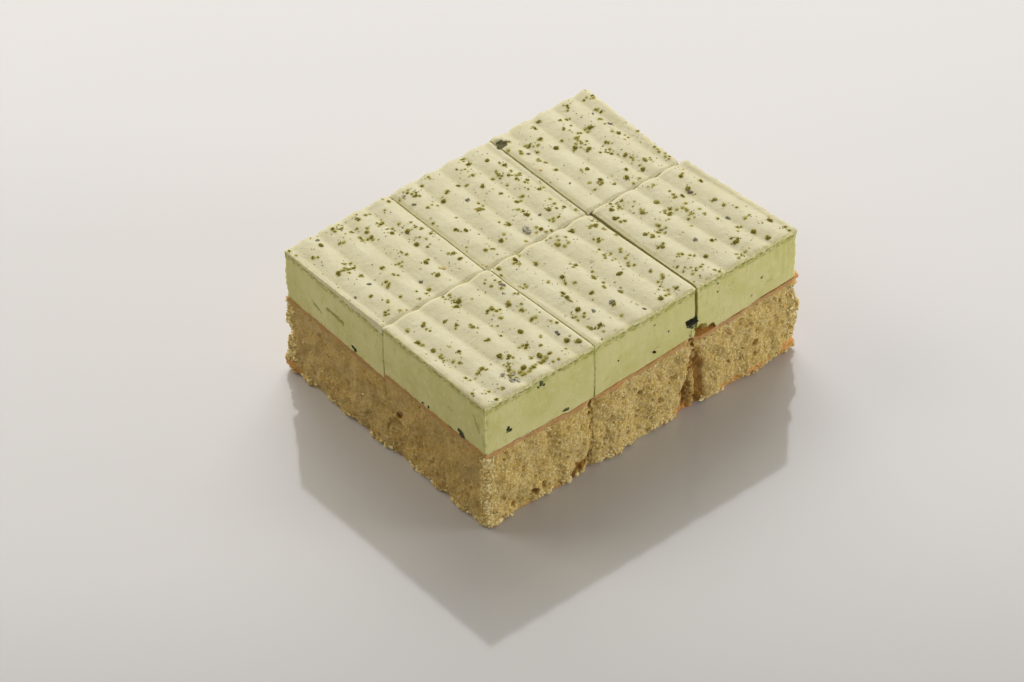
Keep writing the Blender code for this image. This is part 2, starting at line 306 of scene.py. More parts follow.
class Square:
    """One square of the cake. Its methods also take arrays of numbers."""

    def __init__(self, row, column):
        self.row = row
        self.column = column
        self.name = f"{row}_{column}"
        near, far = ROW_EDGES[row]
        self.near = near if row == "front" else near + KNIFE_GAP / 2
        self.far = far if row == "back" else far - KNIFE_GAP / 2
        self.sides = {row}
        if column == COLUMNS[0]:
            self.sides.add("left")
        if column == COLUMNS[-1]:
            self.sides.add("right")
        self.left_inset = 0.0 if "left" in self.sides else self.gap(column - 1) / 2
        self.right_inset = 0.0 if "right" in self.sides else self.gap(column) / 2

    def gap(self, cut):
        return OPEN_GAP if (self.row, cut) == OPEN_CUT else KNIFE_GAP

    def in_open_cut(self, side):
        """Whether a side of the square is a wall of the open cut."""
        cut = {"left": self.column - 1, "right": self.column}.get(side)
        return (self.row, cut) == OPEN_CUT

    def cut_at(self, cut, y):
        start, end = CUT_LINES[self.row][cut]
        near, far = ROW_EDGES[self.row]
        return start + (end - start) * (y - near) / (far - near)

    def left_at(self, y):
        return self.cut_at(self.column - 1, y) + self.left_inset

    def right_at(self, y):
        return self.cut_at(self.column, y) - self.right_inset

    def place(self, across, along):
        """X and Y at a share of the way from left to right and from front to back."""
        y = self.near + self.depth() * along
        return self.left_at(y) + (self.right_at(y) - self.left_at(y)) * across, y

    def width(self):
        return self.right_at(self.near) - self.left_at(self.near)

    def depth(self):
        return self.far - self.near

    def sponge_height(self, x, y):
        left_front, right_front, left_back = SPONGE_HEIGHTS[self.name]
        across = (x - self.left_at(self.near)) / self.width()
        along = (y - self.near) / self.depth()
        return left_front + (right_front - left_front) * across + (left_back - left_front) * along

    def meeting(self, x, y):
        """The height where mousse and sponge meet, which wanders a little."""
        return self.sponge_height(x, y) + noise_sum(MEETING_WANDER, x, y, MEETING_PLANE)

    def room(self, x, y):
        """How far a place is from each side of the square."""
        return {"left": x - self.left_at(y), "right": self.right_at(y) - x,
                "front": y - self.near, "back": self.far - y}

    def beside_cut(self, x, y, reach):
        """1 on the square's cut faces, falling to 0 at a reach from them."""
        room = self.room(x, y)
        nearest = np.min([room[side] for side in SIDES if side not in self.sides], axis=0)
        return 1.0 - smooth_step(0.0, reach, nearest)


squares = [Square(row, column) for row in ROW_EDGES for column in COLUMNS]
print("The squares are", [square.name for square in squares])

# %% [markdown]
# ## Reading and writing a mesh's points
# Every piece below moves thousands of points by a formula. One by one that would take minutes, so the points
# are read into one array, moved together and written back. A number can be stored on each point as an
# attribute, and the material then reads it.

# %% Points as arrays
def mesh_of(name, form):
    """The mesh of a finished bmesh."""
    mesh = bpy.data.meshes.new(name)
    form.to_mesh(mesh)
    form.free()
    return mesh


def points_of(mesh):
    """The mesh's points as an array with one row each."""
    flat = np.empty(len(mesh.vertices) * 3)
    mesh.vertices.foreach_get("co", flat)
    return flat.reshape(-1, 3)


def move_points(mesh, points):
    mesh.vertices.foreach_set("co", points.ravel())
    mesh.update()


def store(mesh, name, values):
    """Stores one number for each point, for the material to read."""
    attribute = mesh.attributes.new(name, "FLOAT", "POINT")
    attribute.data.foreach_set("value", np.asarray(values, dtype=np.float32))


def stored(mesh, name):
    values = np.empty(len(mesh.vertices), dtype=np.float32)
    mesh.attributes[name].data.foreach_get("value", values)
    return values


def to_world(x, y, z):
    """Places in cake millimetres as one array in metres, in the model's frame."""
    return np.column_stack((x - BASE_CENTRE[0], y - BASE_CENTRE[1], z)) * MM


def to_cake(mesh):
    """The places of a mesh's points in cake millimetres, as three arrays."""
    return (points_of(mesh) / MM + np.array((*BASE_CENTRE, 0.0))).T


print("The front left corner of the cake lies at", to_world(0.0, 0.0, 0.0)[0].round(4).tolist())

# %% [markdown]
# ## From a cube to a square of cake
# A layer of a square is a box whose sides are rough on the outside of the cake and flat where the knife
# went. It could be sculpted by hand, but then no two squares would match their solids. Here a unit cube
# is sliced evenly with subdivide_edges. The sides that nobody sees are dissolved to one face each, which
# saves most of the triangles, and only then are the points moved to their places in the cake.

# %% Slice a cube and make its hidden sides plain
SEEN_INTO_CUT = 5.0


def sliced_cube(steps):
    """A closed unit cube in the positive corner, sliced into even steps along X, Y and Z."""
    block = bmesh.new()
    bmesh.ops.create_cube(block, size=1.0, matrix=Matrix.Translation((0.5, 0.5, 0.5)))
    for axis, count in enumerate(steps):
        whole = [edge for edge in block.edges if abs((edge.verts[0].co - edge.verts[1].co)[axis]) > 0.5]
        bmesh.ops.subdivide_edges(block, edges=whole, cuts=count - 1, use_grid_fill=True)
    return block


def hidden_faces(block, square, top_shows):
    """The faces that nobody sees, in one list for each side of the cube."""
    groups = {"top": [], "bottom": [], "left": [], "right": [], "front": [], "back": []}
    size = Vector((square.width(), square.depth(), 1.0))
    for face in block.faces:
        middle = face.calc_center_median()
        normal = face.normal
        if normal.z < -0.5:
            groups["bottom"].append(face)
        elif normal.z > 0.5:
            if not top_shows:
                groups["top"].append(face)
        elif abs(normal.x) > 0.5:
            side = "left" if normal.x < 0 else "right"
            ends = {"front": middle.y * size.y, "back": (1 - middle.y) * size.y}
            if side not in square.sides and min(ends[s] for s in ends if s in square.sides) > SEEN_INTO_CUT:
                groups[side].append(face)
        else:
            side = "front" if normal.y < 0 else "back"
            ends = {"left": middle.x * size.x, "right": (1 - middle.x) * size.x}
            near = min((ends[s] for s in ends if s in square.sides), default=math.inf)
            if side not in square.sides and near > SEEN_INTO_CUT:
                groups[side].append(face)
    return [faces for faces in groups.values() if faces]


def layer_mesh(name, square, steps, top_shows=False):
    """A sliced cube as a mesh, with its hidden sides dissolved, and the places of its points as shares."""
    block = sliced_cube(steps)
    block.normal_update()
    for faces in hidden_faces(block, square, top_shows):
        bmesh.ops.dissolve_faces(block, faces=faces, use_verts=True)
    mesh = mesh_of(name, block)
    return mesh, points_of(mesh)


trial = sliced_cube((4, 3, 2))
print("A cube in 4 by 3 by 2 slices has", len(trial.faces), "faces")
trial.free()

# %% [markdown]
# The move itself is the same for all three layers. Each point's share of the cube becomes a place between
# the cuts. Then a point on a side is pushed outwards by that side's own relief. The points just behind a
# side that shows follow it, less the deeper they are, or else a cut face would stick out where the side
# beside it draws in. Last the height is worked out again, so that flat hidden faces stay flat.

# %% Move a cube's points to the cake
SHARE_TOLERANCE = 1e-5


def on_side(shares, side):
    axis, end = {"left": (0, 0.0), "right": (0, 1.0), "front": (1, 0.0), "back": (1, 1.0)}[side]
    return np.abs(shares[:, axis] - end) < SHARE_TOLERANCE


def moved_onto(square, side, x, y):
    """The nearest places on a side of the square."""
    if side in ("left", "right"):
        return (square.left_at(y) if side == "left" else square.right_at(y)), y
    return x, np.full(len(x), square.near if side == "front" else square.far)


def place_in_cake(square, shares, height, relief):
    """Cake places of a cube's points, and marks for them such as how hollow they are.

    relief(side, x, y, z) gives how far places on a side stand out, and their marks by name.
    """
    x, y = square.place(shares[:, 0], shares[:, 1])
    z = height(x, y, shares[:, 2])
    room = square.room(x, y)
    out, marks = {}, {}
    for side in SIDES:
        on = on_side(shares, side)
        there = on | (room[side] < SEEN_INTO_CUT) if side in square.sides else on
        side_x, side_y = moved_onto(square, side, x[there], y[there])
        pushed, found = relief(side, side_x, side_y, z[there])
        out[side] = np.zeros(len(shares))
        out[side][there] = pushed * np.clip(1.0 - room[side][there] / SEEN_INTO_CUT, 0.0, 1.0)
        for name, values in found.items():
            mark = marks.setdefault(name, np.zeros(len(shares)))
            mark[on] = np.maximum(mark[on], values[on[there]])
    y = y + out["back"] - out["front"]
    x = square.left_at(y) + (square.right_at(y) - square.left_at(y)) * shares[:, 0]
    x = x + out["right"] - out["left"]
    return x, y, height(x, y, shares[:, 2]), marks


print("Places are moved by", len(SIDES), "reliefs, one for each side")

# %% [markdown]
# ## Finishing a piece
# A finished piece needs its material, smooth shading that stops at real corners, the body it rides on,
# and the solid it stands for. One function does this for every piece, so that none is forgotten.

# %% Hand a piece over to the frame
CORNER_ANGLE = math.radians(50)


def finish_piece(name, mesh, material, replaced=()):
    """Makes the object of a finished mesh."""
    mesh.materials.clear()
    mesh.materials.append(material)
    mesh.shade_smooth()
    mesh.set_sharp_from_angle(angle=CORNER_ANGLE)
    piece = add_to_scene(name, mesh)
    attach(piece, "root")
    if replaced:
        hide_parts(*replaced)
    print(name, "has", len(mesh.polygons), "faces")


print("Edges sharper than", round(math.degrees(CORNER_ANGLE)), "degrees stay sharp")

# %% [markdown]
# ## The sponge's crumb
# A cut sponge shows bubbles of three or four sizes, opened by the knife, with lumps of crumb between
# them. The wide lumps, the draw-in at the foot, the creases beside the cuts and the torn hollow are in
# the solid already, so the same formulas come first.

# %% The wide forms of the sponge, as in the solid
SPONGE_PROUD = {"left": 0.1, "front": 0.1, "right": 1.6, "back": 1.2}
CRUMB_REACH = {"left": 0.9, "front": 0.9, "right": 3.0, "back": 2.5}
CRUMB_DEPTH = 1.8
LUMPS = {8.5: 1.0, 4.0: 0.55}
LUMP_HEIGHT = {"left": 1.3, "front": 1.3, "right": 2.4, "back": 2.4}
FOOT_UNDERCUT = 0.7
FOOT_HEIGHT = 3.0
CREASES = (
    {"top": 37.6, "foot": 37.0, "half_width": 1.9, "depth": 1.0},
    {"top": 74.4, "foot": 72.0, "half_width": 3.0, "depth": 2.4},
)
CREASE_TOP = 22.5
CREASE_DEPTH_AT_TOP = 0.6
CREASE_WANDER = 1.2
CREASE_WANDER_LENGTH = 6.0
CALM_HEIGHTS = (22.0, 26.5)
CALM_SHARE = 0.4
TORN_HOLLOW = {"along": 36.5, "height": 9.0, "half_width": 7.8, "half_height": 6.5, "depth": 1.5}
TORN_FLOOR_SHARE = 0.3


def crease_depth(x, z):
    depth = 0.0
    share = np.minimum(1.0, z / CREASE_TOP)
    for crease in CREASES:
        middle = crease["foot"] + (crease["top"] - crease["foot"]) * share
        middle = middle + CREASE_WANDER * noise_at(CREASE_WANDER_LENGTH, 0.0, crease["foot"], z)
        reach = np.maximum(0.0, 1.0 - np.abs(x - middle) / crease["half_width"])
        depth = depth + crease["depth"] * reach * (1.0 + (CREASE_DEPTH_AT_TOP - 1.0) * share)
    return depth


def torn_depth(y, z):
    across = (y - TORN_HOLLOW["along"]) / TORN_HOLLOW["half_width"]
    up = (z - TORN_HOLLOW["height"]) / TORN_HOLLOW["half_height"]
    return TORN_HOLLOW["depth"] * (1.0 - smooth_step(TORN_FLOOR_SHARE, 1.0, np.hypot(across, up)))


def wide_relief(side, x, y, z):
    """How far the cut sponge stands out past the mousse above it."""
    lumps = noise_sum(LUMPS, x, y, z)
    calm = smooth_step(*CALM_HEIGHTS, z)
    out = SPONGE_PROUD[side] + LUMP_HEIGHT[side] * lumps * (1.0 + (CALM_SHARE - 1.0) * calm)
    out = out - FOOT_UNDERCUT * (1.0 - smooth_step(0.0, FOOT_HEIGHT, z))
    if side == "back":
        out = out - SPONGE_PROUD[side] * calm
    if side == "front":
        out = out - crease_depth(x, z)
    if side == "left":
        out = out - torn_depth(y, z)
    return np.clip(out, -CRUMB_DEPTH, CRUMB_REACH[side])


print("The sponge's wide relief reaches from", -CRUMB_DEPTH, "to", CRUMB_REACH["right"], "mm")

# %% [markdown]
# A bubble that the knife opened is a round hollow, and Voronoi noise gives just that: the distance to the
# nearest of many scattered centres. Where it is less than the bubble's radius the surface sinks like the
# inside of a ball. Four sizes are laid over each other, the smallest everywhere and the others in patches,
# where a wide noise is above a least value. Real bubbles aren't round, so the places are pushed about first.
# Noise makes the crumb's own grain.

# %% Open bubbles and grain
BUBBLES = (
    {"spacing": 5.5, "radius": 0.2, "depth": 0.65, "patch": 9.0, "least": 0.0},
    {"spacing": 2.4, "radius": 0.32, "depth": 0.55, "patch": 6.0, "least": 0.0},
    {"spacing": 1.3, "radius": 0.4, "depth": 0.25, "patch": 5.0, "least": -0.15},
    {"spacing": 0.8, "radius": 0.5, "depth": 0.08, "patch": 4.0, "least": -1.0},
)
BUBBLE_WARP = 0.5
BUBBLE_WARP_SIZE = 1.2
PATCH_SHIFT = 50.0
PATCH_EDGE = 0.25
GRAIN_SIZES = {3.2: 0.3, 1.5: 0.28, 0.7: 0.12, 0.4: 0.05}
ROUGHNESS = {"left": 0.6, "front": 1.0, "right": 1.15, "back": 1.15}


def warped(places, amount, size):
    """Places pushed about by noise, so that round things at them come out uneven."""
    return np.array([amount * noise.noise_vector(point) for point in (places / size).tolist()]) + places


def bubble_hollow(bubble, places):
    """How deep each place lies in the bubbles of one size, from 0 to 1."""
    cells = (places / bubble["spacing"]).tolist()
    nearest = np.array([noise.voronoi(point)[0][0] for point in cells])
    hollow = np.sqrt(np.clip(1.0 - (nearest / bubble["radius"]) ** 2, 0.0, 1.0))
    patch = noise_at(bubble["patch"], places[:, 0] + PATCH_SHIFT, places[:, 1], places[:, 2])
    return hollow * smooth_step(bubble["least"], bubble["least"] + PATCH_EDGE, patch)


def crumb_relief(x, y, z):
    """The fine relief of the crumb in millimetres, and how deep in bubbles each place is."""
    places = warped(np.column_stack((x, y, z)), BUBBLE_WARP, BUBBLE_WARP_SIZE)
    depth = np.zeros(len(x))
    for bubble in BUBBLES:
        depth = np.maximum(depth, bubble["depth"] * bubble_hollow(bubble, places))
    grain = noise_sum(GRAIN_SIZES, x, y, z)
    return grain - depth, depth + np.maximum(0.0, -grain)


print("The deepest bubbles are", max(bubble["depth"] for bubble in BUBBLES), "mm deep")

# %% [markdown]
# Some marks on the sponge are too particular for noise: one round crater near the front corner, a dark
# hole in the left side, and small pits beside the first cut. Each is written down: how far along its
# side it is, how far up, its radius and its depth. The crumb right of the open cut is worn back too.

# %% Listed holes and the worn cut
HOLES = {
    "front": ((16.4, 4.7, 1.3, 1.6), (33.6, 3.0, 2.7, 1.3), (31.0, 1.4, 2.0, 1.2), (36.3, 4.6, 1.6, 1.1),
              (9.8, 3.4, 1.0, 0.6), (62.0, 11.0, 1.2, 0.7), (55.2, 17.0, 1.0, 0.6), (97.5, 12.0, 1.3, 0.7),
              (37.4, 23.2, 0.8, 1.1), (37.0, 20.2, 0.7, 0.9), (36.8, 15.6, 0.6, 0.8), (48.6, 19.8, 0.9, 0.7),
              (71.2, 8.0, 1.8, 0.7)),
    "left": ((37.7, 16.0, 1.3, 1.6), (36.6, 17.6, 0.9, 1.0), (40.2, 13.2, 0.8, 0.7), (33.4, 10.4, 1.1, 0.8),
             (68.5, 17.5, 0.8, 0.6)),
}
HOLE_TEARS = {1.3: 0.55}
HOLE_WALL = (0.35, 1.15)
OPEN_CUT_WEAR = {"depth": 1.7, "reach": 4.5, "heights": (12.0, 25.0)}


def along_side(side, x, y):
    return y if side in ("left", "right") else x


def hole_depth(side, x, y, z):
    along = along_side(side, x, y)
    torn = noise_sum(HOLE_TEARS, x, y, z)
    depth = np.zeros(len(x))
    for hole_along, hole_up, radius, hole_deep in HOLES.get(side, ()):
        reach = np.hypot(along - hole_along, z - hole_up) / radius + torn
        depth = np.maximum(depth, hole_deep * (1.0 - smooth_step(*HOLE_WALL, reach)))
    return depth


def open_cut_wear(square, x, y, z):
    """How far the crumb is worn back on the right of the open cut, as a soft slope."""
    near = 1.0 - smooth_step(0.0, OPEN_CUT_WEAR["reach"], x - square.left_at(y))
    low = 1.0 - smooth_step(*OPEN_CUT_WEAR["heights"], z)
    return OPEN_CUT_WEAR["depth"] * near * low * uneven(2.2, 0.5, x, y, z)


print("The sponge has", sum(len(holes) for holes in HOLES.values()), "holes of its own")

# %% [markdown]
# The browned skin lies on top of the sponge, as a band that stands a little proud and shows few bubbles.
# The foot is browned in patches where it lay in the tin. They grow towards the right, where the crust also
# climbs the cake's end, and there is one more stretch of it on the left side. Both have torn edges, so noise
# is added to the height before it is compared with the edge.

# %% Browned skin and foot
SKIN_THICKNESS = {"left": 1.2, "front": 1.5, "right": 1.3, "back": 1.3}
SKIN_TEARS = {0.9: 0.45}
SKIN_EDGE = (-0.4, 0.25)
CRUST_HEIGHTS = (1.26, 6.3)
CRUST_PATCHES = {8.0: 1.0, 2.5: 0.5}
CRUST_PATCH_EDGE = (-0.15, 0.4)
CRUST_TEARS = {1.5: 0.9, 0.7: 0.5}
CRUST_EDGE = (-0.9, 0.15)
CRUST_PLANE = 20.0
LEFT_CRUST = {"share": 0.9, "along": (72.0, 84.0), "within": 5.0}
END_CRUST = {"along": (107.0, 113.0), "heights": (23.5, 26.5)}


def skin_share(square, thickness, x, y, z):
    """1 in the browned skin under the mousse and 0 in the crumb, with an uneven lower edge."""
    edge = thickness * uneven(4.0, 0.35, x, y, 0.0) + noise_sum(SKIN_TEARS, x, y, z)
    return 1.0 - smooth_step(*SKIN_EDGE, square.meeting(x, y) - z - edge)


def crust_share(x, y, z):
    """1 on the foot's browned patches, which are larger towards the right."""
    left = LEFT_CRUST["share"] * smooth_step(*LEFT_CRUST["along"], y) * (x < LEFT_CRUST["within"])
    share = np.maximum(x / CAKE_LENGTH, left)
    patch = noise_sum(CRUST_PATCHES, x, y, CRUST_PLANE) + 0.7 * share ** 3
    low, high = CRUST_HEIGHTS
    rise = (low + (high - low) * share ** 4) * smooth_step(*CRUST_PATCH_EDGE, patch)
    foot = 1.0 - smooth_step(*CRUST_EDGE, z - rise + noise_sum(CRUST_TEARS, x, y, z))
    end = smooth_step(*END_CRUST["along"], x + 1.5 * noise_at(2.0, x, y, z))
    return np.maximum(foot, end * smooth_step(*END_CRUST["heights"], z))


print("The foot's crust is up to", CRUST_HEIGHTS, "mm high, at the left and the right end")

# %% [markdown]
# One function now adds all of this up for a side that shows. The knife cut the left side smoothly above and
# tore it below, so that side is rougher near its foot. The cake's upright corners are worn, and each crease
# has pits in it. The function also gives what the material has to know: how hollow, brown, rough and near to
# a corner each place is.

# %% The relief of a side that shows
SKIN_PROUD = 0.1
SKIN_CALM = 0.85
TORN_ROUGHNESS = 0.4
TORN_HEIGHTS = (7.0, 15.0)
CORNER_WEAR = 0.5
CORNER_WIDTH = 2.4
CUT_CORNER = 0.3
CREASE_PITS = 0.45
CREASE_SHADE = 0.33


def corner_share(square, side, x, y):
    """1 at the cake's own upright corners, less beside a cut, and 0 away from both."""
    room = square.room(x, y)
    shares = []
    for name in ("front", "back") if side in ("left", "right") else ("left", "right"):
        most = 1.0 if name in square.sides else CUT_CORNER
        shares.append(most * (1.0 - smooth_step(0.0, CORNER_WIDTH, room[name])))
    return np.maximum(*shares)


def sponge_side(square, side, x, y, z):
    """The relief of one side that shows, and the marks that its material reads."""
    fine, hollow = crumb_relief(x, y, z)
    skin = skin_share(square, SKIN_THICKNESS[side], x, y, z)
    rough = np.full(len(x), ROUGHNESS[side])
    if side == "left":
        rough += TORN_ROUGHNESS * (1.0 - smooth_step(*TORN_HEIGHTS, z + 3.0 * noise_at(7.0, x, y, z)))
    calm = (1.0 - SKIN_CALM * skin) * rough
    hole = hole_depth(side, x, y, z)
    corner = corner_share(square, side, x, y)
    wear = CORNER_WEAR * corner * (0.5 + noise_at(1.6, x, y, z))
    if side == "front":
        crease = crease_depth(x, z)
        pits = CREASE_PITS * smooth_step(0.1, 1.2, crease) * smooth_step(-0.05, 0.5, noise_at(1.3, x, y, z))
        hole = np.maximum(hole, pits * (1.0 - skin))
        if square.in_open_cut("left"):
            worn = open_cut_wear(square, x, y, z)
            crease = crease + worn
            hole = hole + worn
        hollow = hollow + CREASE_SHADE * crease
    relief = wide_relief(side, x, y, z) + calm * fine + SKIN_PROUD * skin - hole - wear * calm
    # Marks the left side, which the material darkens with painted shade.
    dry = np.full(len(x), float(side == "left"))
    # The hollow mark says where the material paints shade: in bubbles, holes and creases.
    return relief, {"hollow": hollow * calm + hole, "skin": skin, "crust": crust_share(x, y, z),
                    "corner": corner, "rough": rough, "dry": dry}


print("Pits in a crease are up to", CREASE_PITS, "mm deep")

# %% [markdown]
# Now the six sponges can be made. Inside a closed cut the two crumbs touch, so the first few millimetres
# of each cut face are pushed out over the knife's gap. Where one face wanders out the face across the cut
# wanders in, so that no seam runs straight. The push fades to nothing where the cut is too deep to be seen.
# In the open cut the gap stays, with a few crumbs that reach over it.

# %% Make the six sponges
SPONGE_STEP = 0.24
SEAM_OVERLAP = 0.12
OPEN_SEAM_CRUMBS = 0.6
SEAM_WANDER = {2.6: 0.6, 1.1: 0.3}
SEAM_ROUGHNESS = 0.4
SEAM_SHADE = 0.5
TOP_CRUST = 0.85


def fade_into_cut(square, x, y):
    """1 at the sides that show and 0 further into a cut than can be seen."""
    room = square.room(x, y)
    nearest = np.min([room[side] for side in square.sides], axis=0)
    return 1.0 - smooth_step(0.5 * SEEN_INTO_CUT, 0.95 * SEEN_INTO_CUT, nearest)


def seam_crumbs(square, side):
    """How far the crumb of a cut face is pushed out."""
    return OPEN_SEAM_CRUMBS if square.in_open_cut(side) else KNIFE_GAP / 2 + SEAM_OVERLAP


def make_sponge_mesh(square):
    steps = (round(square.width() / SPONGE_STEP), round(square.depth() / SPONGE_STEP),
             round(square.sponge_height(square.left_at(square.near), square.near) / SPONGE_STEP))
    mesh, shares = layer_mesh(f"sponge_{square.name}", square, steps)

    def height(x, y, share):
        return share * square.meeting(x, y)

    def relief(side, x, y, z):
        if side in square.sides:
            return sponge_side(square, side, x, y, z)
        fine, hollow = crumb_relief(x, y, z)
        fade = fade_into_cut(square, x, y)
        wander = noise_sum(SEAM_WANDER, x, y, z)
        if side in ("left", "front"):
            wander = -wander
        out = fade * (seam_crumbs(square, side) + SEAM_ROUGHNESS * fine + wander)
        skin = skin_share(square, SKIN_THICKNESS["front"], x, y, z)
        return out, {"hollow": SEAM_SHADE * hollow * fade, "skin": skin}

    x, y, z, marks = place_in_cake(square, shares, height, relief)
    shown = np.any([on_side(shares, side) for side in square.sides], axis=0)
    on_top = shares[:, 2] > 1 - SHARE_TOLERANCE
    under = shares[:, 2] < SHARE_TOLERANCE
    marks["skin"][on_top] = 1.0
    marks["crust"][on_top] = TOP_CRUST
    marks["crust"][under & ~shown] = 1.0
    move_points(mesh, to_world(x, y, z))
    for name, values in marks.items():
        store(mesh, name, values)
    return mesh


sponge_meshes = {square.name: make_sponge_mesh(square) for square in squares}
print("The sponges have", sum(len(mesh.polygons) for mesh in sponge_meshes.values()), "faces in all")

# %% [markdown]
# ## The sponge's finish
# The crumb is a warm straw colour. Painted shade darkens it in the bubbles, holes and creases, and over
# the whole left side, which the light leaves darkest. Seen close up it is a heap of tiny walls, some pale
# and some in shade, which Voronoi cells give: each cell has a number of its own, and that number sets its
# tone and its height in the Bump. The palest cells are painted highlight on walls that catch the light,
# and the darkest are painted shade. At the worn corners a paler yellow is painted light that shines
# through the thin crumb. The stored numbers say where the bubbles, the skin and the crust are, and noise
# breaks up their edges. A little subsurface light keeps the thin crumbs from looking like stone.

# %% The sponge's material
SPONGE_COLOURS = (paint(211, 186, 118), paint(203, 174, 98))
SPONGE_SHADE = paint(178, 144, 70)
SPONGE_LIT_GRAIN = paint(240, 226, 176)
SPONGE_PORE_SHADE = paint(148, 105, 40)
SPONGE_CORNER_GLOW = paint(236, 207, 118)
SKIN_COLOURS = (paint(186, 138, 88), paint(206, 162, 110))
CRUST_COLOUR = paint(220, 158, 88)


def make_sponge_material():
    material, start, shader = new_material("sponge")
    place = object_place(start)
    small = soft_pattern(place, 0.9, detail=3.0, roughness=0.6)
    medium = soft_pattern(place, 2.2, detail=3.0, roughness=0.6)
    broad = soft_pattern(place, 9.0, detail=3.0)
    rough = soft_step(measured(start, "rough"), 0.6, 1.0)
    strength = 0.4 + 0.25 * rough
    away, grain = crumb_cells(place, 0.42)
    pore_away, pore_chance = crumb_cells(place, 1.3)
    # Painted shade: the pores and the stored hollow mark darken the crumb where shade falls in its hollows.
    pore_shade = soft_step(pore_away, 0.5, 0.2) * soft_step(pore_chance, 0.6, 0.8)
    deep = soft_step(measured(start, "hollow") + (small - 0.5) * 0.4, 0.1, 0.9)
    skin = soft_step(measured(start, "skin") + (small - 0.5) * 0.5, 0.3, 0.8)
    crust = soft_step(measured(start, "crust") + (small - 0.5) * 1.1, 0.45, 0.95)
    # Painted light: the worn corners are paler and yellower, as light shines through the thin crumb.
    corner_glow = measured(start, "corner") * soft_step(small, 0.3, 0.6)
    crumb = mix_colours(soft_step(broad, 0.35, 0.65), *SPONGE_COLOURS)
    crumb = tinted(crumb, ((soft_step(medium, 0.5, 0.3) * 0.6, SPONGE_SHADE),
                           (corner_glow * 0.7, SPONGE_CORNER_GLOW),
                           (soft_step(grain, 0.25, 0.0) * strength * 0.6, SPONGE_SHADE),
                           # Painted highlight: the palest cells are crumb walls and glints that catch the
                           # light.
                           (soft_step(grain, 0.6, 0.95) * strength, SPONGE_LIT_GRAIN),
                           (pore_shade * strength * 0.6, SPONGE_PORE_SHADE),
                           (deep * 0.9, SPONGE_PORE_SHADE),
                           (skin * 0.85, mix_colours(soft_step(small, 0.35, 0.7), *SKIN_COLOURS)),
                           (crust * 0.75, CRUST_COLOUR),
                           # Painted shade: the whole left side is darkened, because the light leaves it
                           # darkest.
                           (measured(start, "dry") * 0.34, SPONGE_PORE_SHADE)))
    plug(crumb, shader, "Base Color")
    plug(bumped(grain * 0.2 - away * 0.2 + small * 0.7, 0.2), shader, "Normal")
    set_values(shader, {"Roughness": 0.6, "Specular IOR Level": 0.4, "Subsurface Weight": 0.5,
                        "Subsurface Radius": (1.0, 0.7, 0.25), "Subsurface Scale": 1.2 * MM})
    return material


sponge_material = make_sponge_material()
for square in squares:
    name = f"sponge_{square.name}"
    finish_piece(f"{name}_crumb", sponge_meshes[square.name], sponge_material, [name])

# %% [markdown]
# ## The mousse
# The mousse was cut with a thin wet knife. Its sides are smooth and bulge a little, with a few slanting
# grooves and tears, and green powder was smeared down them in places. Both are written down, like
# the holes of the sponge. A groove is a short line on a side: its start and end, half its width, and its
# depth. A smear is how far along and up it is, how wide and how high.

# %% Listed grooves and smears
GROOVES = {
    "left": (((67.3, 35.8), (63.6, 35.1), 0.8, 0.7), ((64.4, 35.4), (60.9, 34.9), 0.9, 0.8),
             ((73.6, 33.4), (70.8, 32.3), 0.75, 0.5), ((4.6, 39.2), (2.4, 34.6), 0.4, 0.35),
             ((15.2, 35.3), (13.8, 34.6), 0.35, 0.4)),
    "front": (((58.6, 30.4), (61.2, 31.0), 0.3, 0.3), ((86.8, 38.2), (88.8, 38.9), 0.25, 0.3),
              ((101.0, 31.2), (103.6, 31.9), 0.3, 0.3)),
}
GROOVE_WALL = (0.2, 1.0)
SMEARS = {
    "front": ((20.2, 40.8, 1.3, 1.5), (9.0, 42.6, 2.4, 0.7), (14.5, 42.2, 1.6, 0.9), (28.5, 42.4, 2.6, 0.6),
              (38.3, 30.5, 0.6, 2.2), (0.5, 40.0, 0.8, 2.6)),
    "left": ((2.6, 36.5, 0.9, 3.2), (0.6, 32.0, 0.6, 3.4)),
}
SMEAR_EDGE = (0.2, 1.2)


def smear_share(side, x, y, z):
    """How strongly green powder was smeared over each place of a side, from 0 to 1."""
    along = along_side(side, x, y)
    share = np.zeros(len(x))
    for smear_along, smear_up, width, high in SMEARS.get(side, ()):
        reach = np.hypot((along - smear_along) / width, (z - smear_up) / high)
        share = np.maximum(share, 1.0 - smooth_step(*SMEAR_EDGE, reach))
    return share


def groove_depth(side, x, y, z):
    along = along_side(side, x, y)
    depth = np.zeros(len(x))
    for start, end, half_width, groove_deep in GROOVES.get(side, ()):
        line = np.subtract(end, start)
        share = np.clip(((along - start[0]) * line[0] + (z - start[1]) * line[1]) / (line @ line), 0.0, 1.0)
        away = np.hypot(along - start[0] - share * line[0], z - start[1] - share * line[1])
        ragged = half_width * uneven(0.9, 0.9, x, y, z)
        depth = np.maximum(depth, groove_deep * (1.0 - smooth_step(*GROOVE_WALL, away / ragged)))
    return depth


print("The mousse has", sum(len(grooves) for grooves in GROOVES.values()), "grooves")

# %% [markdown]
# Where the comb's cream was dragged over the edge there is a ragged line near the top. The cream stands
# proud above it, and the mousse and the cream both need to know how far above it a point is, so that their
# materials draw the same line. On the left side the line falls towards the front, in each row by itself.

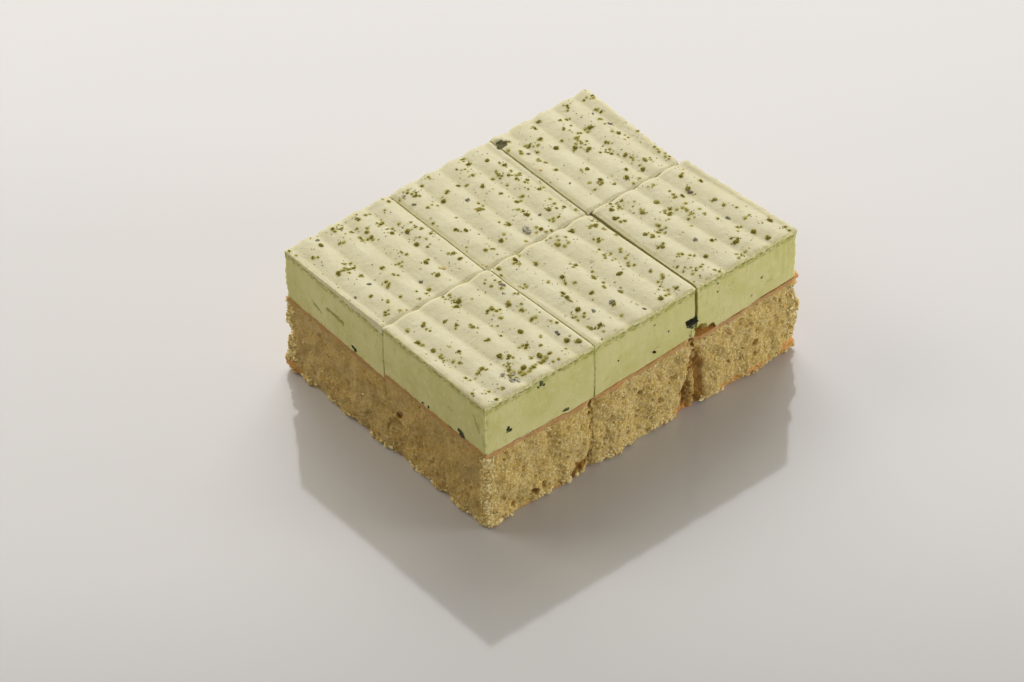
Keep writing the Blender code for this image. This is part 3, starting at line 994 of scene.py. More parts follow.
# %% The ragged upper line and the mousse's relief
LAYER_GAP = 0.3
MOUSSE_TOP = 42.6
MEETING_HEIGHT = MOUSSE_TOP + LAYER_GAP / 2
MOUSSE_BELLY = 0.25
BELLY_WAVE = 12.0
MOUSSE_WAVES = {3.0: 0.06}
LINE_HEIGHT = 43.6
LEFT_LINE = {"back": {"height": 44.2, "fall": 1.4}, "front": {"height": 44.5, "fall": 0.3}}
LINE_PLANE = 7.0
LINE_TEARS = {6.0: 0.3, 1.6: 0.25, 0.7: 0.12}
LINE_RAGGED = {"left": 1.3, "front": 1.4, "right": 1.4, "back": 1.4}
LIP_PROUD = 0.14
LEFT_CREAM_REACH = 2.5


def line_height(side, x, y):
    """The height of the ragged line where the dragged cream ends."""
    ragged = LINE_RAGGED[side] * noise_sum(LINE_TEARS, x, y, LINE_PLANE)
    if side != "left":
        return LINE_HEIGHT + ragged
    heights = {}
    for row, line in LEFT_LINE.items():
        near, far = ROW_EDGES[row]
        heights[row] = line["height"] - line["fall"] * (far - y) / (far - near)
    return np.where(y > ROW_EDGES["back"][0], heights["back"], heights["front"]) + ragged


def lip_relief(side, x, y, z):
    """The dragged cream stands proud just above the line and thins out further up."""
    above = z - line_height(side, x, y)
    proud = LIP_PROUD * uneven(2.2, 0.8, x, y, z)
    return proud * smooth_step(-0.15, 0.12, above) * (1.0 - 0.6 * smooth_step(0.2, 1.6, above))


def mousse_relief(square, side, x, y, z):
    """How far the mousse's side stands out: a slight belly, faint waves, the lip and the grooves."""
    low = square.sponge_height(x, y)
    share = np.clip((z - low) / (MEETING_HEIGHT - low), 0.0, 1.0)
    belly = MOUSSE_BELLY * uneven(BELLY_WAVE, 1.0, x, y, 0.0) + noise_sum(MOUSSE_WAVES, x, y, z)
    return belly * np.sin(math.pi * share) + lip_relief(side, x, y, z) - groove_depth(side, x, y, z)


def nearest_side(square, x, y):
    """The name of the side that shows and is nearest to each place."""
    room = square.room(x, y)
    names = sorted(square.sides)
    order = np.argmin([room[side] for side in names], axis=0)
    return np.array(names)[order]


def above_line(square, x, y, z):
    """How far each place is above the ragged line of its nearest side, in millimetres.

    On the left the cream reaches down to the line, so what is above it counts for more there.
    """
    sides = nearest_side(square, x, y)
    above = np.zeros(len(x))
    for side in square.sides:
        there = sides == side
        above[there] = z[there] - line_height(side, x[there], y[there])
        if side == "left":
            above[there] = np.where(above[there] > 0.0, LEFT_CREAM_REACH * above[there], above[there])
    return above


print("The ragged line lies about", LINE_HEIGHT, "mm up")

# %% [markdown]
# The six squares of mousse are made like the sponges. The knife pressed their edges together, so a cut face
# is pushed out a little and the cut is only a hairline, which opens towards the foot. The cake's upright
# corners are rounded and nicked, and faint upright waves mark the front's right end.

# %% Make the mousse
MOUSSE_STEP = 0.4
MOUSSE_SKIRT = 0.06
SEAM_SKIRTS = {"row": 0.17, "column": 0.13, "open": 0.2}
CUT_CLOSING = 0.09
CORNER_ROUNDING = 0.14
CORNER_REACH = 0.7
CUT_FOOT = (27.5, 31.5)
DRAG_WAVES = {"height": 0.1, "width": 1.4, "length": 9.0, "along": (88.0, 108.0)}


def seam_skirt(square, side):
    """How far a cut face is pushed out at the top, so that a closed cut is only a hairline."""
    if side in ("front", "back"):
        return SEAM_SKIRTS["row"]
    return SEAM_SKIRTS["open" if square.in_open_cut(side) else "column"]


def outer_corner(square, side, x, y):
    """1 on the cake's own upright corners and 0 away from them."""
    room = square.room(x, y)
    others = [name for name in square.sides if name != side]
    nearest = np.min([room[name] for name in others], axis=0) if others else np.full(len(x), CORNER_REACH)
    return (1.0 - np.clip(nearest / CORNER_REACH, 0.0, 1.0)) ** 2


def drag_waves(x, y, z):
    """Faint upright waves that fade in along the front."""
    width = DRAG_WAVES["width"]
    waves = DRAG_WAVES["height"] * noise_at(1.0, x / width, y / width, z / DRAG_WAVES["length"])
    return waves * smooth_step(*DRAG_WAVES["along"], x)


def make_mousse_mesh(square):
    left_height = MOUSSE_TOP - square.sponge_height(square.left_at(square.near), square.near)
    steps = (round(square.width() / MOUSSE_STEP), round(square.depth() / MOUSSE_STEP),
             round(left_height / MOUSSE_STEP))
    mesh, shares = layer_mesh(f"mousse_{square.name}", square, steps)

    def height(x, y, share):
        low = square.meeting(x, y)
        return low + (MEETING_HEIGHT - low) * share

    def relief(side, x, y, z):
        if side in square.sides:
            nicks = CORNER_ROUNDING * outer_corner(square, side, x, y) * uneven(1.1, 1.5, x, y, z)
            return mousse_relief(square, side, x, y, z) - nicks + drag_waves(x, y, z), {}
        closing = 0.0 if square.in_open_cut(side) else CUT_CLOSING
        spread = smooth_step(*CUT_FOOT, z + noise_at(2.0, x, y, z)) if side in ("left", "right") else 1.0
        return (MOUSSE_SKIRT + closing) * spread * uneven(1.4, 1.2, x, y, z), {}

    x, y, z, _ = place_in_cake(square, shares, height, relief)
    move_points(mesh, to_world(x, y, z))
    return mesh


mousse_meshes = {square.name: make_mousse_mesh(square) for square in squares}
print("The mousse has", sum(len(mesh.polygons) for mesh in mousse_meshes.values()), "faces in all")

# %% [markdown]
# One corner of the mousse broke away beside the open cut and bared the skin below. Pulling points about would
# stretch the faces there. A Boolean leaves a clean sharp edge instead, and two rough lumps, cut out of the
# mousse side by side, give the two bites that show. The plain hidden faces of the mousse cross each other
# by a hair, so the Boolean is told to look for that. The solid has one plain wedge in this place.

# %% Break the corner out of the mousse
CHIPPED = "front_3"
CHIP_BITES = (
    {"along": 1.5, "up": 1.1, "size": (2.4, 3.4, 3.2)},
    {"along": 5.2, "up": 0.1, "size": (2.2, 2.6, 2.0)},
)
CHIP_CUTS = 4
CHIP_TEARS = {1.7: 0.6, 0.6: 0.16}


def chip_cutter(square, bite):
    """A rough lump, placed where the mousse broke away from its foot."""
    x = square.left_at(square.near) + bite["along"]
    middle = to_world(x, square.near, square.meeting(x, square.near) + bite["up"])[0]
    lump = bmesh.new()
    bmesh.ops.create_icosphere(lump, subdivisions=CHIP_CUTS, radius=MM)
    bmesh.ops.scale(lump, verts=lump.verts, vec=Vector(bite["size"]))
    bmesh.ops.translate(lump, verts=lump.verts, vec=Vector(middle))
    for point in lump.verts:
        place = point.co / MM
        for size, amount in CHIP_TEARS.items():
            point.co += amount * MM * noise.noise_vector(place / size)
    return mesh_of("chip", lump)


def cut_away(mesh, cutter_mesh):
    """The mesh with the cutter's form taken out of it."""
    body = add_to_scene("uncut", mesh)
    cutter = add_to_scene("cutter", cutter_mesh)
    cut = body.modifiers.new("cut", "BOOLEAN")
    cut.operation = "DIFFERENCE"
    cut.object = cutter
    cut.solver = "EXACT"
    cut.use_self = True
    graph = bpy.context.evaluated_depsgraph_get()
    result = bpy.data.meshes.new_from_object(body.evaluated_get(graph))
    bpy.data.objects.remove(body)
    bpy.data.objects.remove(cutter)
    return result


chipped = next(square for square in squares if square.name == CHIPPED)
for bite in CHIP_BITES:
    mousse_meshes[CHIPPED] = cut_away(mousse_meshes[CHIPPED], chip_cutter(chipped, bite))
print("The chipped mousse has", len(mousse_meshes[CHIPPED].polygons), "faces")

# %% [markdown]
# The Boolean makes new points, so the numbers that the mousse's material reads are stored only now: how far
# above the ragged line and above the foot each point is, whether it is in a groove or a smear, on a cut face
# or on one of the cake's upright corners.

# %% Store what the mousse's material reads
CUT_TINT_REACH = 0.6


def mark_mousse(square, mesh):
    x, y, z = to_cake(mesh)
    sides = nearest_side(square, x, y)
    store(mesh, "above_line", above_line(square, x, y, z))
    for name, found_on in (("groove", groove_depth), ("smear", smear_share)):
        found = [found_on(side, x, y, z) * (sides == side) for side in square.sides]
        store(mesh, name, np.max(found, axis=0))
    store(mesh, "cut", square.beside_cut(x, y, CUT_TINT_REACH))
    store(mesh, "above_foot", z - square.meeting(x, y))
    corners = [outer_corner(square, side, x, y) for side in square.sides]
    store(mesh, "corner", np.min(corners, axis=0) if len(corners) > 1 else np.zeros(len(x)))


for square in squares:
    mark_mousse(square, mousse_meshes[square.name])
marks = [mark.name for mark in mousse_meshes[CHIPPED].attributes if mark.data_type == "FLOAT"]
print("Stored on the mousse's points:", marks)

# %% [markdown]
# ## The combed cream
# The comb left wide rounded ridges with narrow valleys between them. The ridges run towards the camera's
# left, bow a little, and lean more in the front row. The solid has them too. Here they get a finer mesh, the
# soft dimples of set cream, faint drag lines along the comb's way, and a lip that overhangs the mousse.

# %% The height of the combed cream
RIDGE_HEIGHT = 0.7
RIDGE_PITCH = 8.6
FIRST_VALLEY = 2.0
VALLEY_ROUNDING = 0.55
COMB_BOW = 1.1
FRONT_ROW_STEP = 1.0
FRONT_ROW_LEAN = 0.055
LEAN_GROWTH = 0.9
COMB_WAVER = 0.18
COMB_WAVER_LENGTH = 41.0
RIDGE_UNEVENNESS = 0.2
RIDGE_PATCH = (14.0, 20.0)
EDGE_ROLL = 0.45
OUTER_ROLL = 0.25
EDGE_ROLL_WIDTH = 1.0
ROW_LIFT = 0.25
ROW_LIFT_WIDTH = 9.0
DIMPLES = {6.0: 0.08, 2.6: 0.09, 1.1: 0.05}
DIMPLE_PLANE = 3.0
CHATTER = {"height": 0.05, "across": 4.0, "along": 1.1}
DRAG_LINES = {"height": 0.02, "across": 0.9, "along": 14.0}
DRAG_PLANE = 5.0
HOLLOW = {"x": 75.2, "y": 82.7, "radius": 2.3, "depth": 0.9}


def comb_phase(row, x, y):
    """Counts the comb's valleys along X: a whole number is the bottom of a valley."""
    share = x / CAKE_LENGTH
    shift = FIRST_VALLEY + COMB_BOW * np.sin(math.pi * share)
    shift = shift + COMB_WAVER * np.sin(math.tau * (y + x) / COMB_WAVER_LENGTH)
    if row == "front":
        lean = FRONT_ROW_LEAN * (1.0 + LEAN_GROWTH * share)
        shift = shift + FRONT_ROW_STEP * (1.0 + share) + lean * (ROW_EDGES[row][1] - y)
    return (x - shift) / RIDGE_PITCH


def ridge_share(square, x, y):
    """0 at the bottom of a valley and 1 on the crest of a ridge."""
    phase = comb_phase(square.row, x, y)
    half = RIDGE_PITCH / 2
    from_valley = np.abs(phase - np.round(phase)) * RIDGE_PITCH
    rounded = np.hypot(from_valley, VALLEY_ROUNDING) - VALLEY_ROUNDING
    return 1.0 - ((half - rounded) / half) ** 2


def combed_height(square, x, y):
    """The height of the solid's combed top."""
    strength = 1.0 + RIDGE_UNEVENNESS * noise_at(1.0, x / RIDGE_PATCH[0], y / RIDGE_PATCH[1], 0.0)
    height = CAKE_HEIGHT - RIDGE_HEIGHT * strength * (1.0 - ridge_share(square, x, y))
    if square.row == "front":
        height = height + ROW_LIFT * smooth_step(square.far - ROW_LIFT_WIDTH, square.far, y)
    for side, room in square.room(x, y).items():
        roll = OUTER_ROLL if side in square.sides else EDGE_ROLL
        height = height - roll * (1.0 - smooth_step(0.0, EDGE_ROLL_WIDTH, room))
    return height


def in_hollow(x, y):
    """1 inside the one deep hollow of the top and 0 outside."""
    reach = np.hypot(x - HOLLOW["x"], y - HOLLOW["y"]) / HOLLOW["radius"]
    return 1.0 - smooth_step(0.3, 1.0, reach + 0.3 * noise_at(1.2, x, y, 0.0))


def cream_surface(square, x, y):
    """The combed top with its dimples, the comb's chatter across the ridges and its drag along them."""
    height = combed_height(square, x, y) + noise_sum(DIMPLES, x, y, DIMPLE_PLANE)
    for marks in (CHATTER, DRAG_LINES):
        height = height + marks["height"] * noise_at(1.0, x / marks["across"], y / marks["along"], DRAG_PLANE)
    return height - HOLLOW["depth"] * in_hollow(x, y)


print("A ridge is about", RIDGE_HEIGHT, "mm high and", RIDGE_PITCH, "mm wide")

# %% [markdown]
# The matcha was sifted over the finished cream. Its largest grains are in the solid, drawn by the same
# seeded rule. A sieve drops the rest in pairs, chains and loose clusters, so most of the smaller grains
# are placed beside one that lies there already. All places are drawn before the cream is made, because
# the powder also stains the cream round each grain.

# %% Where the matcha fell
GRAINS_PER_SQUARE = 22
GRAIN_RADIUS = (0.42, 0.78)
GRAIN_MARGIN = 1.9
GRAIN_TRIES = 2
GRAIN_SEED = 14
SMALL_GRAINS = {"seed": 5, "count": 125, "radius": (0.2, 0.52), "margin": 0.5, "spread": 0.85, "beside": 0.65}
DUST = {"seed": 8, "count": 150, "radius": (0.1, 0.22), "margin": 0.3, "spread": 1.6, "beside": 0.7}
CHAIN = {"start": (16.0, 3.2), "end": (26.5, 4.6), "spread": 0.3, "count": 11, "radius": (0.42, 0.7)}
CORNER_HEAP = {"middle": (14.0, 5.2), "spread": 1.1, "count": 8, "radius": (0.35, 0.65)}
MARKED_SQUARE = "front_1"
MARKED_SEED = 21


def large_grain_spots(square):
    """The places and radii of the grains that the solid has, by its own rule."""
    draw = random.Random(f"{GRAIN_SEED} {square.name}")
    spots = []
    for _ in range(GRAINS_PER_SQUARE):
        tries = []
        for _ in range(GRAIN_TRIES):
            y = draw.uniform(square.near + GRAIN_MARGIN, square.far - GRAIN_MARGIN)
            x = draw.uniform(square.left_at(y) + GRAIN_MARGIN, square.right_at(y) - GRAIN_MARGIN)
            tries.append((x, y))
        x, y = max(tries, key=lambda spot: min((math.dist(spot, s[:2]) for s in spots), default=0.0))
        spots.append((x, y, draw.uniform(*GRAIN_RADIUS)))
    return spots


def sifted_spots(square, kind, lying):
    """Places and radii of smaller grains: some fall anywhere, the rest beside one that lies there."""
    draw = random.Random(f"{kind['seed']} {square.name}")
    low, high = kind["radius"]
    alone = round(kind["count"] * (1.0 - kind["beside"]))
    spots = []
    while len(spots) < kind["count"]:
        y = draw.uniform(square.near, square.far)
        x = draw.uniform(square.left_at(y), square.right_at(y))
        if len(spots) >= alone:
            x, y = (draw.gauss(value, kind["spread"]) for value in draw.choice(lying + spots[:alone])[:2])
        if min(square.room(x, y).values()) > kind["margin"]:
            spots.append((x, y, draw.uniform(low, high)))
    return spots


def marked_spots(draw):
    """The chain and the heap of grains near the front left corner."""
    spots = []
    for number in range(CHAIN["count"]):
        share = number / (CHAIN["count"] - 1)
        ends = zip(CHAIN["start"], CHAIN["end"])
        x, y = (a + (b - a) * share + draw.gauss(0.0, CHAIN["spread"]) for a, b in ends)
        spots.append((x, y, draw.uniform(*CHAIN["radius"])))
    for _ in range(CORNER_HEAP["count"]):
        x, y = (draw.gauss(value, CORNER_HEAP["spread"]) for value in CORNER_HEAP["middle"])
        spots.append((x, y, draw.uniform(*CORNER_HEAP["radius"])))
    return spots


large_spots, small_spots, dust_spots = {}, {}, {}
for square in squares:
    large = large_grain_spots(square)
    small = sifted_spots(square, SMALL_GRAINS, large)
    if square.name == MARKED_SQUARE:
        small += marked_spots(random.Random(MARKED_SEED))
    large_spots[square.name] = large
    small_spots[square.name] = small
    dust_spots[square.name] = sifted_spots(square, DUST, large + small)
print("Small grains in all:", sum(len(spots) for spots in small_spots.values()))

# %% [markdown]
# The cream's block keeps its fine top. On its outer sides a few rows of points shape the lip: rounded at
# the top, proud above the ragged line and flush with the mousse below it.

# %% Make the six coats of cream
CREAM_STEP = 0.34
CREAM_ROWS = 10
CREAM_OVERLAP = 0.06
CREAM_SKIRT = 0.03
LIP_ROUNDING = 0.2
RIM_WIDTH = 1.1
STAIN_REACH = 0.85
ROW_CUT_TINT = 0.5
RIM_CHIPS = {"left": 0.15, "front": 0.25, "right": 0.4, "back": 0.4}


def stain_near(spots, x, y):
    """How strongly the powder of nearby grains tints each place, from 0 to 1."""
    tree = kdtree.KDTree(len(spots))
    for number, (spot_x, spot_y, _) in enumerate(spots):
        tree.insert((spot_x, spot_y, 0.0), number)
    tree.balance()
    stain = np.zeros(len(x))
    for number, place in enumerate(zip(x.tolist(), y.tolist())):
        _, nearest, distance = tree.find((*place, 0.0))
        radius = spots[nearest][2]
        near = math.exp(-((max(0.0, distance - 0.7 * radius) / STAIN_REACH) ** 2) * 4)
        stain[number] = near * min(0.7, 1.3 * radius)
    return stain


def near_row_cut(square, x, y):
    """Whether the cut between the rows is the nearest one."""
    room = square.room(x, y)
    cuts = [side for side in SIDES if side not in square.sides]
    nearest = np.argmin([room[side] for side in cuts], axis=0)
    return np.isin(np.array(cuts)[nearest], ("front", "back"))


def make_cream_mesh(square):
    steps = (round(square.width() / CREAM_STEP), round(square.depth() / CREAM_STEP), CREAM_ROWS)
    mesh, shares = layer_mesh(f"cream_{square.name}", square, steps, top_shows=True)
    low = MEETING_HEIGHT - CREAM_OVERLAP

    def height(x, y, share):
        return low + (top - low) * share

    def relief(side, x, y, z):
        rim = combed_height(square, x, y) - z
        rounding = LIP_ROUNDING * (1.0 - smooth_step(-0.1, 0.45, rim)) ** 2
        if side in square.sides:
            chips = RIM_CHIPS[side] * noise_at(1.3, x, y, z) * (1.0 - smooth_step(0.2, 1.2, rim))
            return CREAM_SKIRT + lip_relief(side, x, y, z) - rounding + chips, {}
        return seam_skirt(square, side) - 0.3 * rounding, {}

    top = cream_surface(square, *square.place(shares[:, 0], shares[:, 1]))
    x, y, z, _ = place_in_cake(square, shares, height, relief)
    move_points(mesh, to_world(x, y, z))
    room = square.room(x, y)
    inner = np.min([room[side] for side in square.sides], axis=0)
    store(mesh, "above_line", above_line(square, x, y, z) + 3.0 * smooth_step(0.2, RIM_WIDTH, inner))
    store(mesh, "ridge", ridge_share(square, x, y))
    store(mesh, "rim", 1.0 - smooth_step(0.2, RIM_WIDTH, np.min(list(room.values()), axis=0)))
    store(mesh, "stain", stain_near(large_spots[square.name] + small_spots[square.name], x, y))
    store(mesh, "hollow", in_hollow(x, y))
    tint = np.where(near_row_cut(square, x, y), ROW_CUT_TINT, 1.0)
    store(mesh, "cut", square.beside_cut(x, y, CREAM_STEP) * tint)
    return mesh


cream_meshes = {square.name: make_cream_mesh(square) for square in squares}
print("The cream has", sum(len(mesh.polygons) for mesh in cream_meshes.values()), "faces in all")

# %% [markdown]
# ## The finish of mousse and cream
# Both are set dairy with matcha in them, so they are soft inside: light goes in a little way and comes
# out again, which subsurface scattering gives. The mousse is a yellow green with a few specks of leaf.
# The cream is paler and drier, a touch greener in the valleys, where painted shade also darkens it. The
# ragged line between them is the same in both materials, because both read how far a point is above it.

# %% The ragged line and the cut's tint
MOUSSE_COLOUR = paint(211, 206, 134)
MOUSSE_PALE = paint(220, 214, 148)
MOUSSE_SMEAR = paint(196, 193, 100)
MOUSSE_EDGE = paint(224, 218, 158)
CREAM_COLOUR = paint(218, 212, 179)
LINE_GREEN = paint(180, 180, 78)
LINE_DASHES_AND_SHADOW = paint(142, 145, 62)
LINE_BITS_AND_GLINTS = paint(242, 238, 196)
LINE_DARK_AND_SHADOW = paint(110, 112, 50)


def between(wire, low, start, end, high):
    """0 below low, 1 from start to end, and 0 above high."""
    return soft_step(wire, low, start) * soft_step(wire, high, end)


def dairy_colour(start, place, mousse, cream):
    """Mousse below the ragged line and cream above it, with smears, dashes, bits and a dark line between."""
    above = measured(start, "above_line")
    colour = mix_colours(soft_step(above, 0.8, 2.0), mousse, cream)
    colour = mix_colours(soft_step(above, -0.12, 0.15) * 0.35, colour, cream)
    smears = soft_step(soft_pattern(place, 1.8, detail=3.0), 0.46, 0.6)
    colour = mix_colours(between(above, -2.6, -0.8, 0.0, 0.6) * smears * 0.6, colour, LINE_GREEN)
    torn = drawn_pattern(place, 1.3, 0.45)
    # The dashes under the lip are partly matcha and partly painted shadow of the proud lip.
    dashes = soft_step(torn, 0.46, 0.58) * between(above, -1.9, -0.5, 0.0, 0.3)
    colour = mix_colours(dashes * 0.7, colour, LINE_DASHES_AND_SHADOW)
    # Partly painted highlight: the pale bits on the lip are cream and glints on its wet edge.
    bits = between(above, -0.2, 0.2, 0.6, 1.5) * soft_step(soft_pattern(place, 0.8), 0.5, 0.6)
    colour = mix_colours(bits * 0.75, colour, LINE_BITS_AND_GLINTS)
    # The dark line just under the lip is partly matcha and partly painted shadow; the lower one is torn dust.
    dust_and_shadow_lines = between(above, -0.72, -0.5, -0.12, 0.05) + between(above, -1.75, -1.6, -1.35, -1.2) * 0.6
    return mix_colours(soft_step(torn, 0.5, 0.6) * dust_and_shadow_lines * 0.8, colour, LINE_DARK_AND_SHADOW)


def cut_tint(start, pattern):
    """How olive a place is because the knife drew powder down beside it."""
    return soft_step(measured(start, "cut") + (pattern - 0.5) * 0.9, 0.35, 0.95)


def soften(shader, weight, scale):
    """Lets light wander through a piece, red furthest, over a scale in millimetres."""
    set_values(shader, {"Subsurface Weight": weight, "Subsurface Radius": (1.0, 0.85, 0.4),
                        "Subsurface Scale": scale * MM, "Specular IOR Level": 0.35})


print("Both materials draw the line from the number above_line on each point")

# %% [markdown]
# The mousse is clouded: two greens change over in wide patches, the knife's smears run down it, and smaller
# mottling and pale bubbles lie over them. What was stored on the points then tints the cuts, the foot and
# the smears, puts a painted highlight on the worn upright corners and painted shade in the grooves.

# %% The mousse's material
SPECK_PALE = paint(240, 236, 198)
SPECK_DARK = paint(96, 98, 48)
CORNER_HIGHLIGHT = paint(238, 236, 164)
CUT_OLIVE = paint(152, 152, 72)
FOOT_SPECKS = paint(104, 88, 44)
GROOVE_SHADE = paint(132, 134, 70)
STREAK_GREEN = paint(162, 162, 70)


def mousse_tone(place):
    """The mousse's own green, a little uneven, with smears drawn down by the knife."""
    smears = drawn_pattern(place, 1.3, 7.0, detail=2.0)
    clouds = soft_pattern(place, 11.0, detail=3.0)
    colour = mix_colours(soft_step(clouds, 0.35, 0.65), MOUSSE_COLOUR, MOUSSE_PALE)
    mottled = soft_pattern(place, 2.6, detail=4.0, roughness=0.6)
    return tinted(colour, ((soft_step(smears, 0.56, 0.72) * soft_step(clouds, 0.45, 0.6) * 0.4, MOUSSE_SMEAR),
                           (soft_step(smears, 0.42, 0.26) * 0.2, MOUSSE_EDGE),
                           (soft_step(mottled, 0.5, 0.68) * 0.65, MOUSSE_EDGE),
                           (soft_step(mottled, 0.44, 0.28) * 0.5, MOUSSE_SMEAR),
                           (specks(place, 1.5, 0.2, 0.5) * 0.8, SPECK_PALE),
                           (specks(place, 2.6, 0.16, 0.78) * 0.8, SPECK_DARK)))


def make_mousse_material():
    material, start, shader = new_material("mousse")
    place = object_place(start)
    fine = soft_pattern(place, 1.0, detail=3.0)
    colour = dairy_colour(start, place, mousse_tone(place), CREAM_COLOUR)
    corner = soft_step(measured(start, "corner") + (fine - 0.5) * 0.9, 0.1, 0.5)
    foot = soft_step(measured(start, "above_foot"), 1.1, 0.5)
    streaks = soft_step(drawn_pattern(place, 0.8, 4.0), 0.4, 0.65)
    # Painted highlight: the rounded upright corners are lightened where they catch the light.
    colour = tinted(colour, ((corner * 0.8, CORNER_HIGHLIGHT),
                             (cut_tint(start, fine) * 0.5, CUT_OLIVE),
                             (specks(place, 0.75, 0.2, 0.45) * foot * 0.8, FOOT_SPECKS),
                             (soft_step(measured(start, "groove"), 0.05, 0.4) * 0.6, GROOVE_SHADE),
                             (measured(start, "smear") * streaks * 0.5, STREAK_GREEN)))
    plug(colour, shader, "Base Color")
    wet = between(measured(start, "above_line"), -0.3, 0.0, 0.6, 1.4)
    plug(0.44 + 0.16 * soft_pattern(place, 3.0) - wet * 0.22, shader, "Roughness")
    pits = specks(place, 1.5, 0.16, 0.5)
    plug(bumped(soft_pattern(place, 0.6, detail=3.0) - pits * 0.8, 0.08), shader, "Normal")
    soften(shader, 0.3, 1.2)
    return material


mousse_material = make_mousse_material()
for square in squares:
    name = f"mousse_{square.name}"
    finish_piece(f"{name}_set", mousse_meshes[square.name], mousse_material, [name])

# %% [markdown]
# The cream is duller in its valleys, where painted shade also darkens it, and paler and yellower at its
# rim, partly with a painted highlight on the rolled edge. Powder stains it round each grain and beside the
# cuts, fine specks lie between the grains, and the one deep hollow is filled with dark green.

# %% The cream's material
CREAM_DULL = paint(212, 205, 169)
CREAM_VALLEY_SHADE = paint(202, 194, 152)
CREAM_RIM_HIGHLIGHT = paint(232, 221, 172)
STAIN_GREEN = paint(180, 171, 88)
CUT_POWDER = paint(140, 134, 62)
POWDER_SPECKS = paint(150, 144, 70)
HOLLOW_COLOURS = (paint(56, 54, 12), paint(112, 106, 44))


def make_cream_material():
    material, start, shader = new_material("cream")
    place = object_place(start)
    clouds = soft_pattern(place, 7.0, detail=3.0)
    fine = soft_pattern(place, 1.2, detail=2.0)
    powder = specks(place, 0.8, 0.08, 0.72) * soft_step(clouds, 0.4, 0.6)
    crater = soft_step(measured(start, "hollow") + (fine - 0.5) * 0.5, 0.2, 0.45)
    stain = soft_step(measured(start, "stain") + (fine - 0.5) * 0.5, 0.06, 0.45)
    cream = mix_colours(soft_step(clouds, 0.35, 0.65), CREAM_COLOUR, CREAM_DULL)
    # Partly painted shade: the valleys are darker as well as a touch greener.
    cream = tinted(cream, ((soft_step(measured(start, "ridge"), 0.3, 0.0) * 0.35, CREAM_VALLEY_SHADE),
                           # Partly painted highlight: the rolled rim is paler as well as a touch yellower.
                           (measured(start, "rim") * soft_step(fine, 0.35, 0.65) * 0.5, CREAM_RIM_HIGHLIGHT),
                           (stain * 0.75, STAIN_GREEN),
                           (cut_tint(start, fine) * 0.7, CUT_POWDER),
                           (powder * 0.5, POWDER_SPECKS),
                           (crater * 0.9, mix_colours(soft_step(fine, 0.45, 0.7), *HOLLOW_COLOURS))))
    plug(dairy_colour(start, place, mousse_tone(place), cream), shader, "Base Color")
    rough = soft_pattern(place, 0.6, detail=3.0, roughness=0.65)
    plug(0.55 + 0.16 * rough, shader, "Roughness")
    plug(bumped(rough * 0.6 + fine * 0.4, 0.18), shader, "Normal")
    soften(shader, 0.25, 1.0)
    return material


cream_material = make_cream_material()
for square in squares:
    name = f"cream_{square.name}"
    finish_piece(f"{name}_combed", cream_meshes[square.name], cream_material, [name])

# %% [markdown]
# ## Heaps of small forms
# All grains, crumbs or flakes of a kind are one mesh, because thousands of objects would be slow. An
# operator on a large mesh is slow too, and a heap therefore grows by small parts that are poured into it. It
# also keeps a tint for each form, so that its material can vary from one to the next.

# %% A heap
FORMS_IN_PART = 50


class Heap:
    """Many small forms in one mesh, where each point has a tint."""

    def __init__(self):
        self.whole = self.empty()
        self.part = self.empty()
        self.waiting = 0

    def empty(self):
        made = bmesh.new()
        made.verts.layers.float.new("tint")
        return made

    def next_part(self):
        """The small part that the next form is made in."""
        if self.waiting == FORMS_IN_PART:
            self.pour()
        self.waiting += 1
        return self.part

    def pour(self):
        mesh = mesh_of("poured", self.part)
        self.whole.from_mesh(mesh)
        bpy.data.meshes.remove(mesh)
        self.part = self.empty()
        self.waiting = 0

    def tint(self, points, value):
        layer = self.part.verts.layers.float["tint"]
        for point in points:
            point[layer] = value

    def mesh(self, name):
        self.pour()
        return mesh_of(name, self.whole)


print("A heap is poured after every", FORMS_IN_PART, "forms")

# %% [markdown]
# ## The matcha
# A grain of sifted matcha is an uneven nugget, half sunk in the cream. An icosphere of twenty faces with
# each point pulled in or out is enough for the small ones. The large ones are built like the solid's, then
# split once more and roughened.

# %% Model and scatter the grains
GRAIN_FLATNESS = 0.62
SMALL_GRAIN_FLATNESS = (0.45, 0.75)
GRAIN_UNEVENNESS = (0.7, 1.25)
GRAIN_LENGTH = (0.75, 1.45)
GRAIN_LIFT = 0.05
GRAIN_TINTS = (0.0, 0.7)
GRAIN_ROUGHNESS = {"size": 0.6, "amount": 0.34}
SPLIT_ROUNDING = 0.6
TINT_SEED = 33


def add_nugget(heap, draw, radius, place, flatness=GRAIN_FLATNESS, facets=1):
    """Adds one uneven nugget to a heap and returns its points."""
    part = heap.next_part()
    made = bmesh.ops.create_icosphere(part, subdivisions=facets, radius=radius * MM)["verts"]
    turn = Matrix.Rotation(draw.uniform(0.0, math.tau), 3, Vector((draw.random(), draw.random(), 1.0)))
    longer = draw.uniform(*GRAIN_LENGTH)
    for corner in made:
        corner.co = turn @ (corner.co * draw.uniform(*GRAIN_UNEVENNESS))
        corner.co.x *= longer
        corner.co.y /= longer
        corner.co.z *= flatness
    bmesh.ops.translate(part, verts=made, vec=place)
    return made


def on_cream(square, spots, lift):
    """World places on the cream's surface for a list of spots."""
    x, y, radius = (np.array(values) for values in zip(*spots))
    return [Vector(place) for place in to_world(x, y, cream_surface(square, x, y) + lift * radius).tolist()]


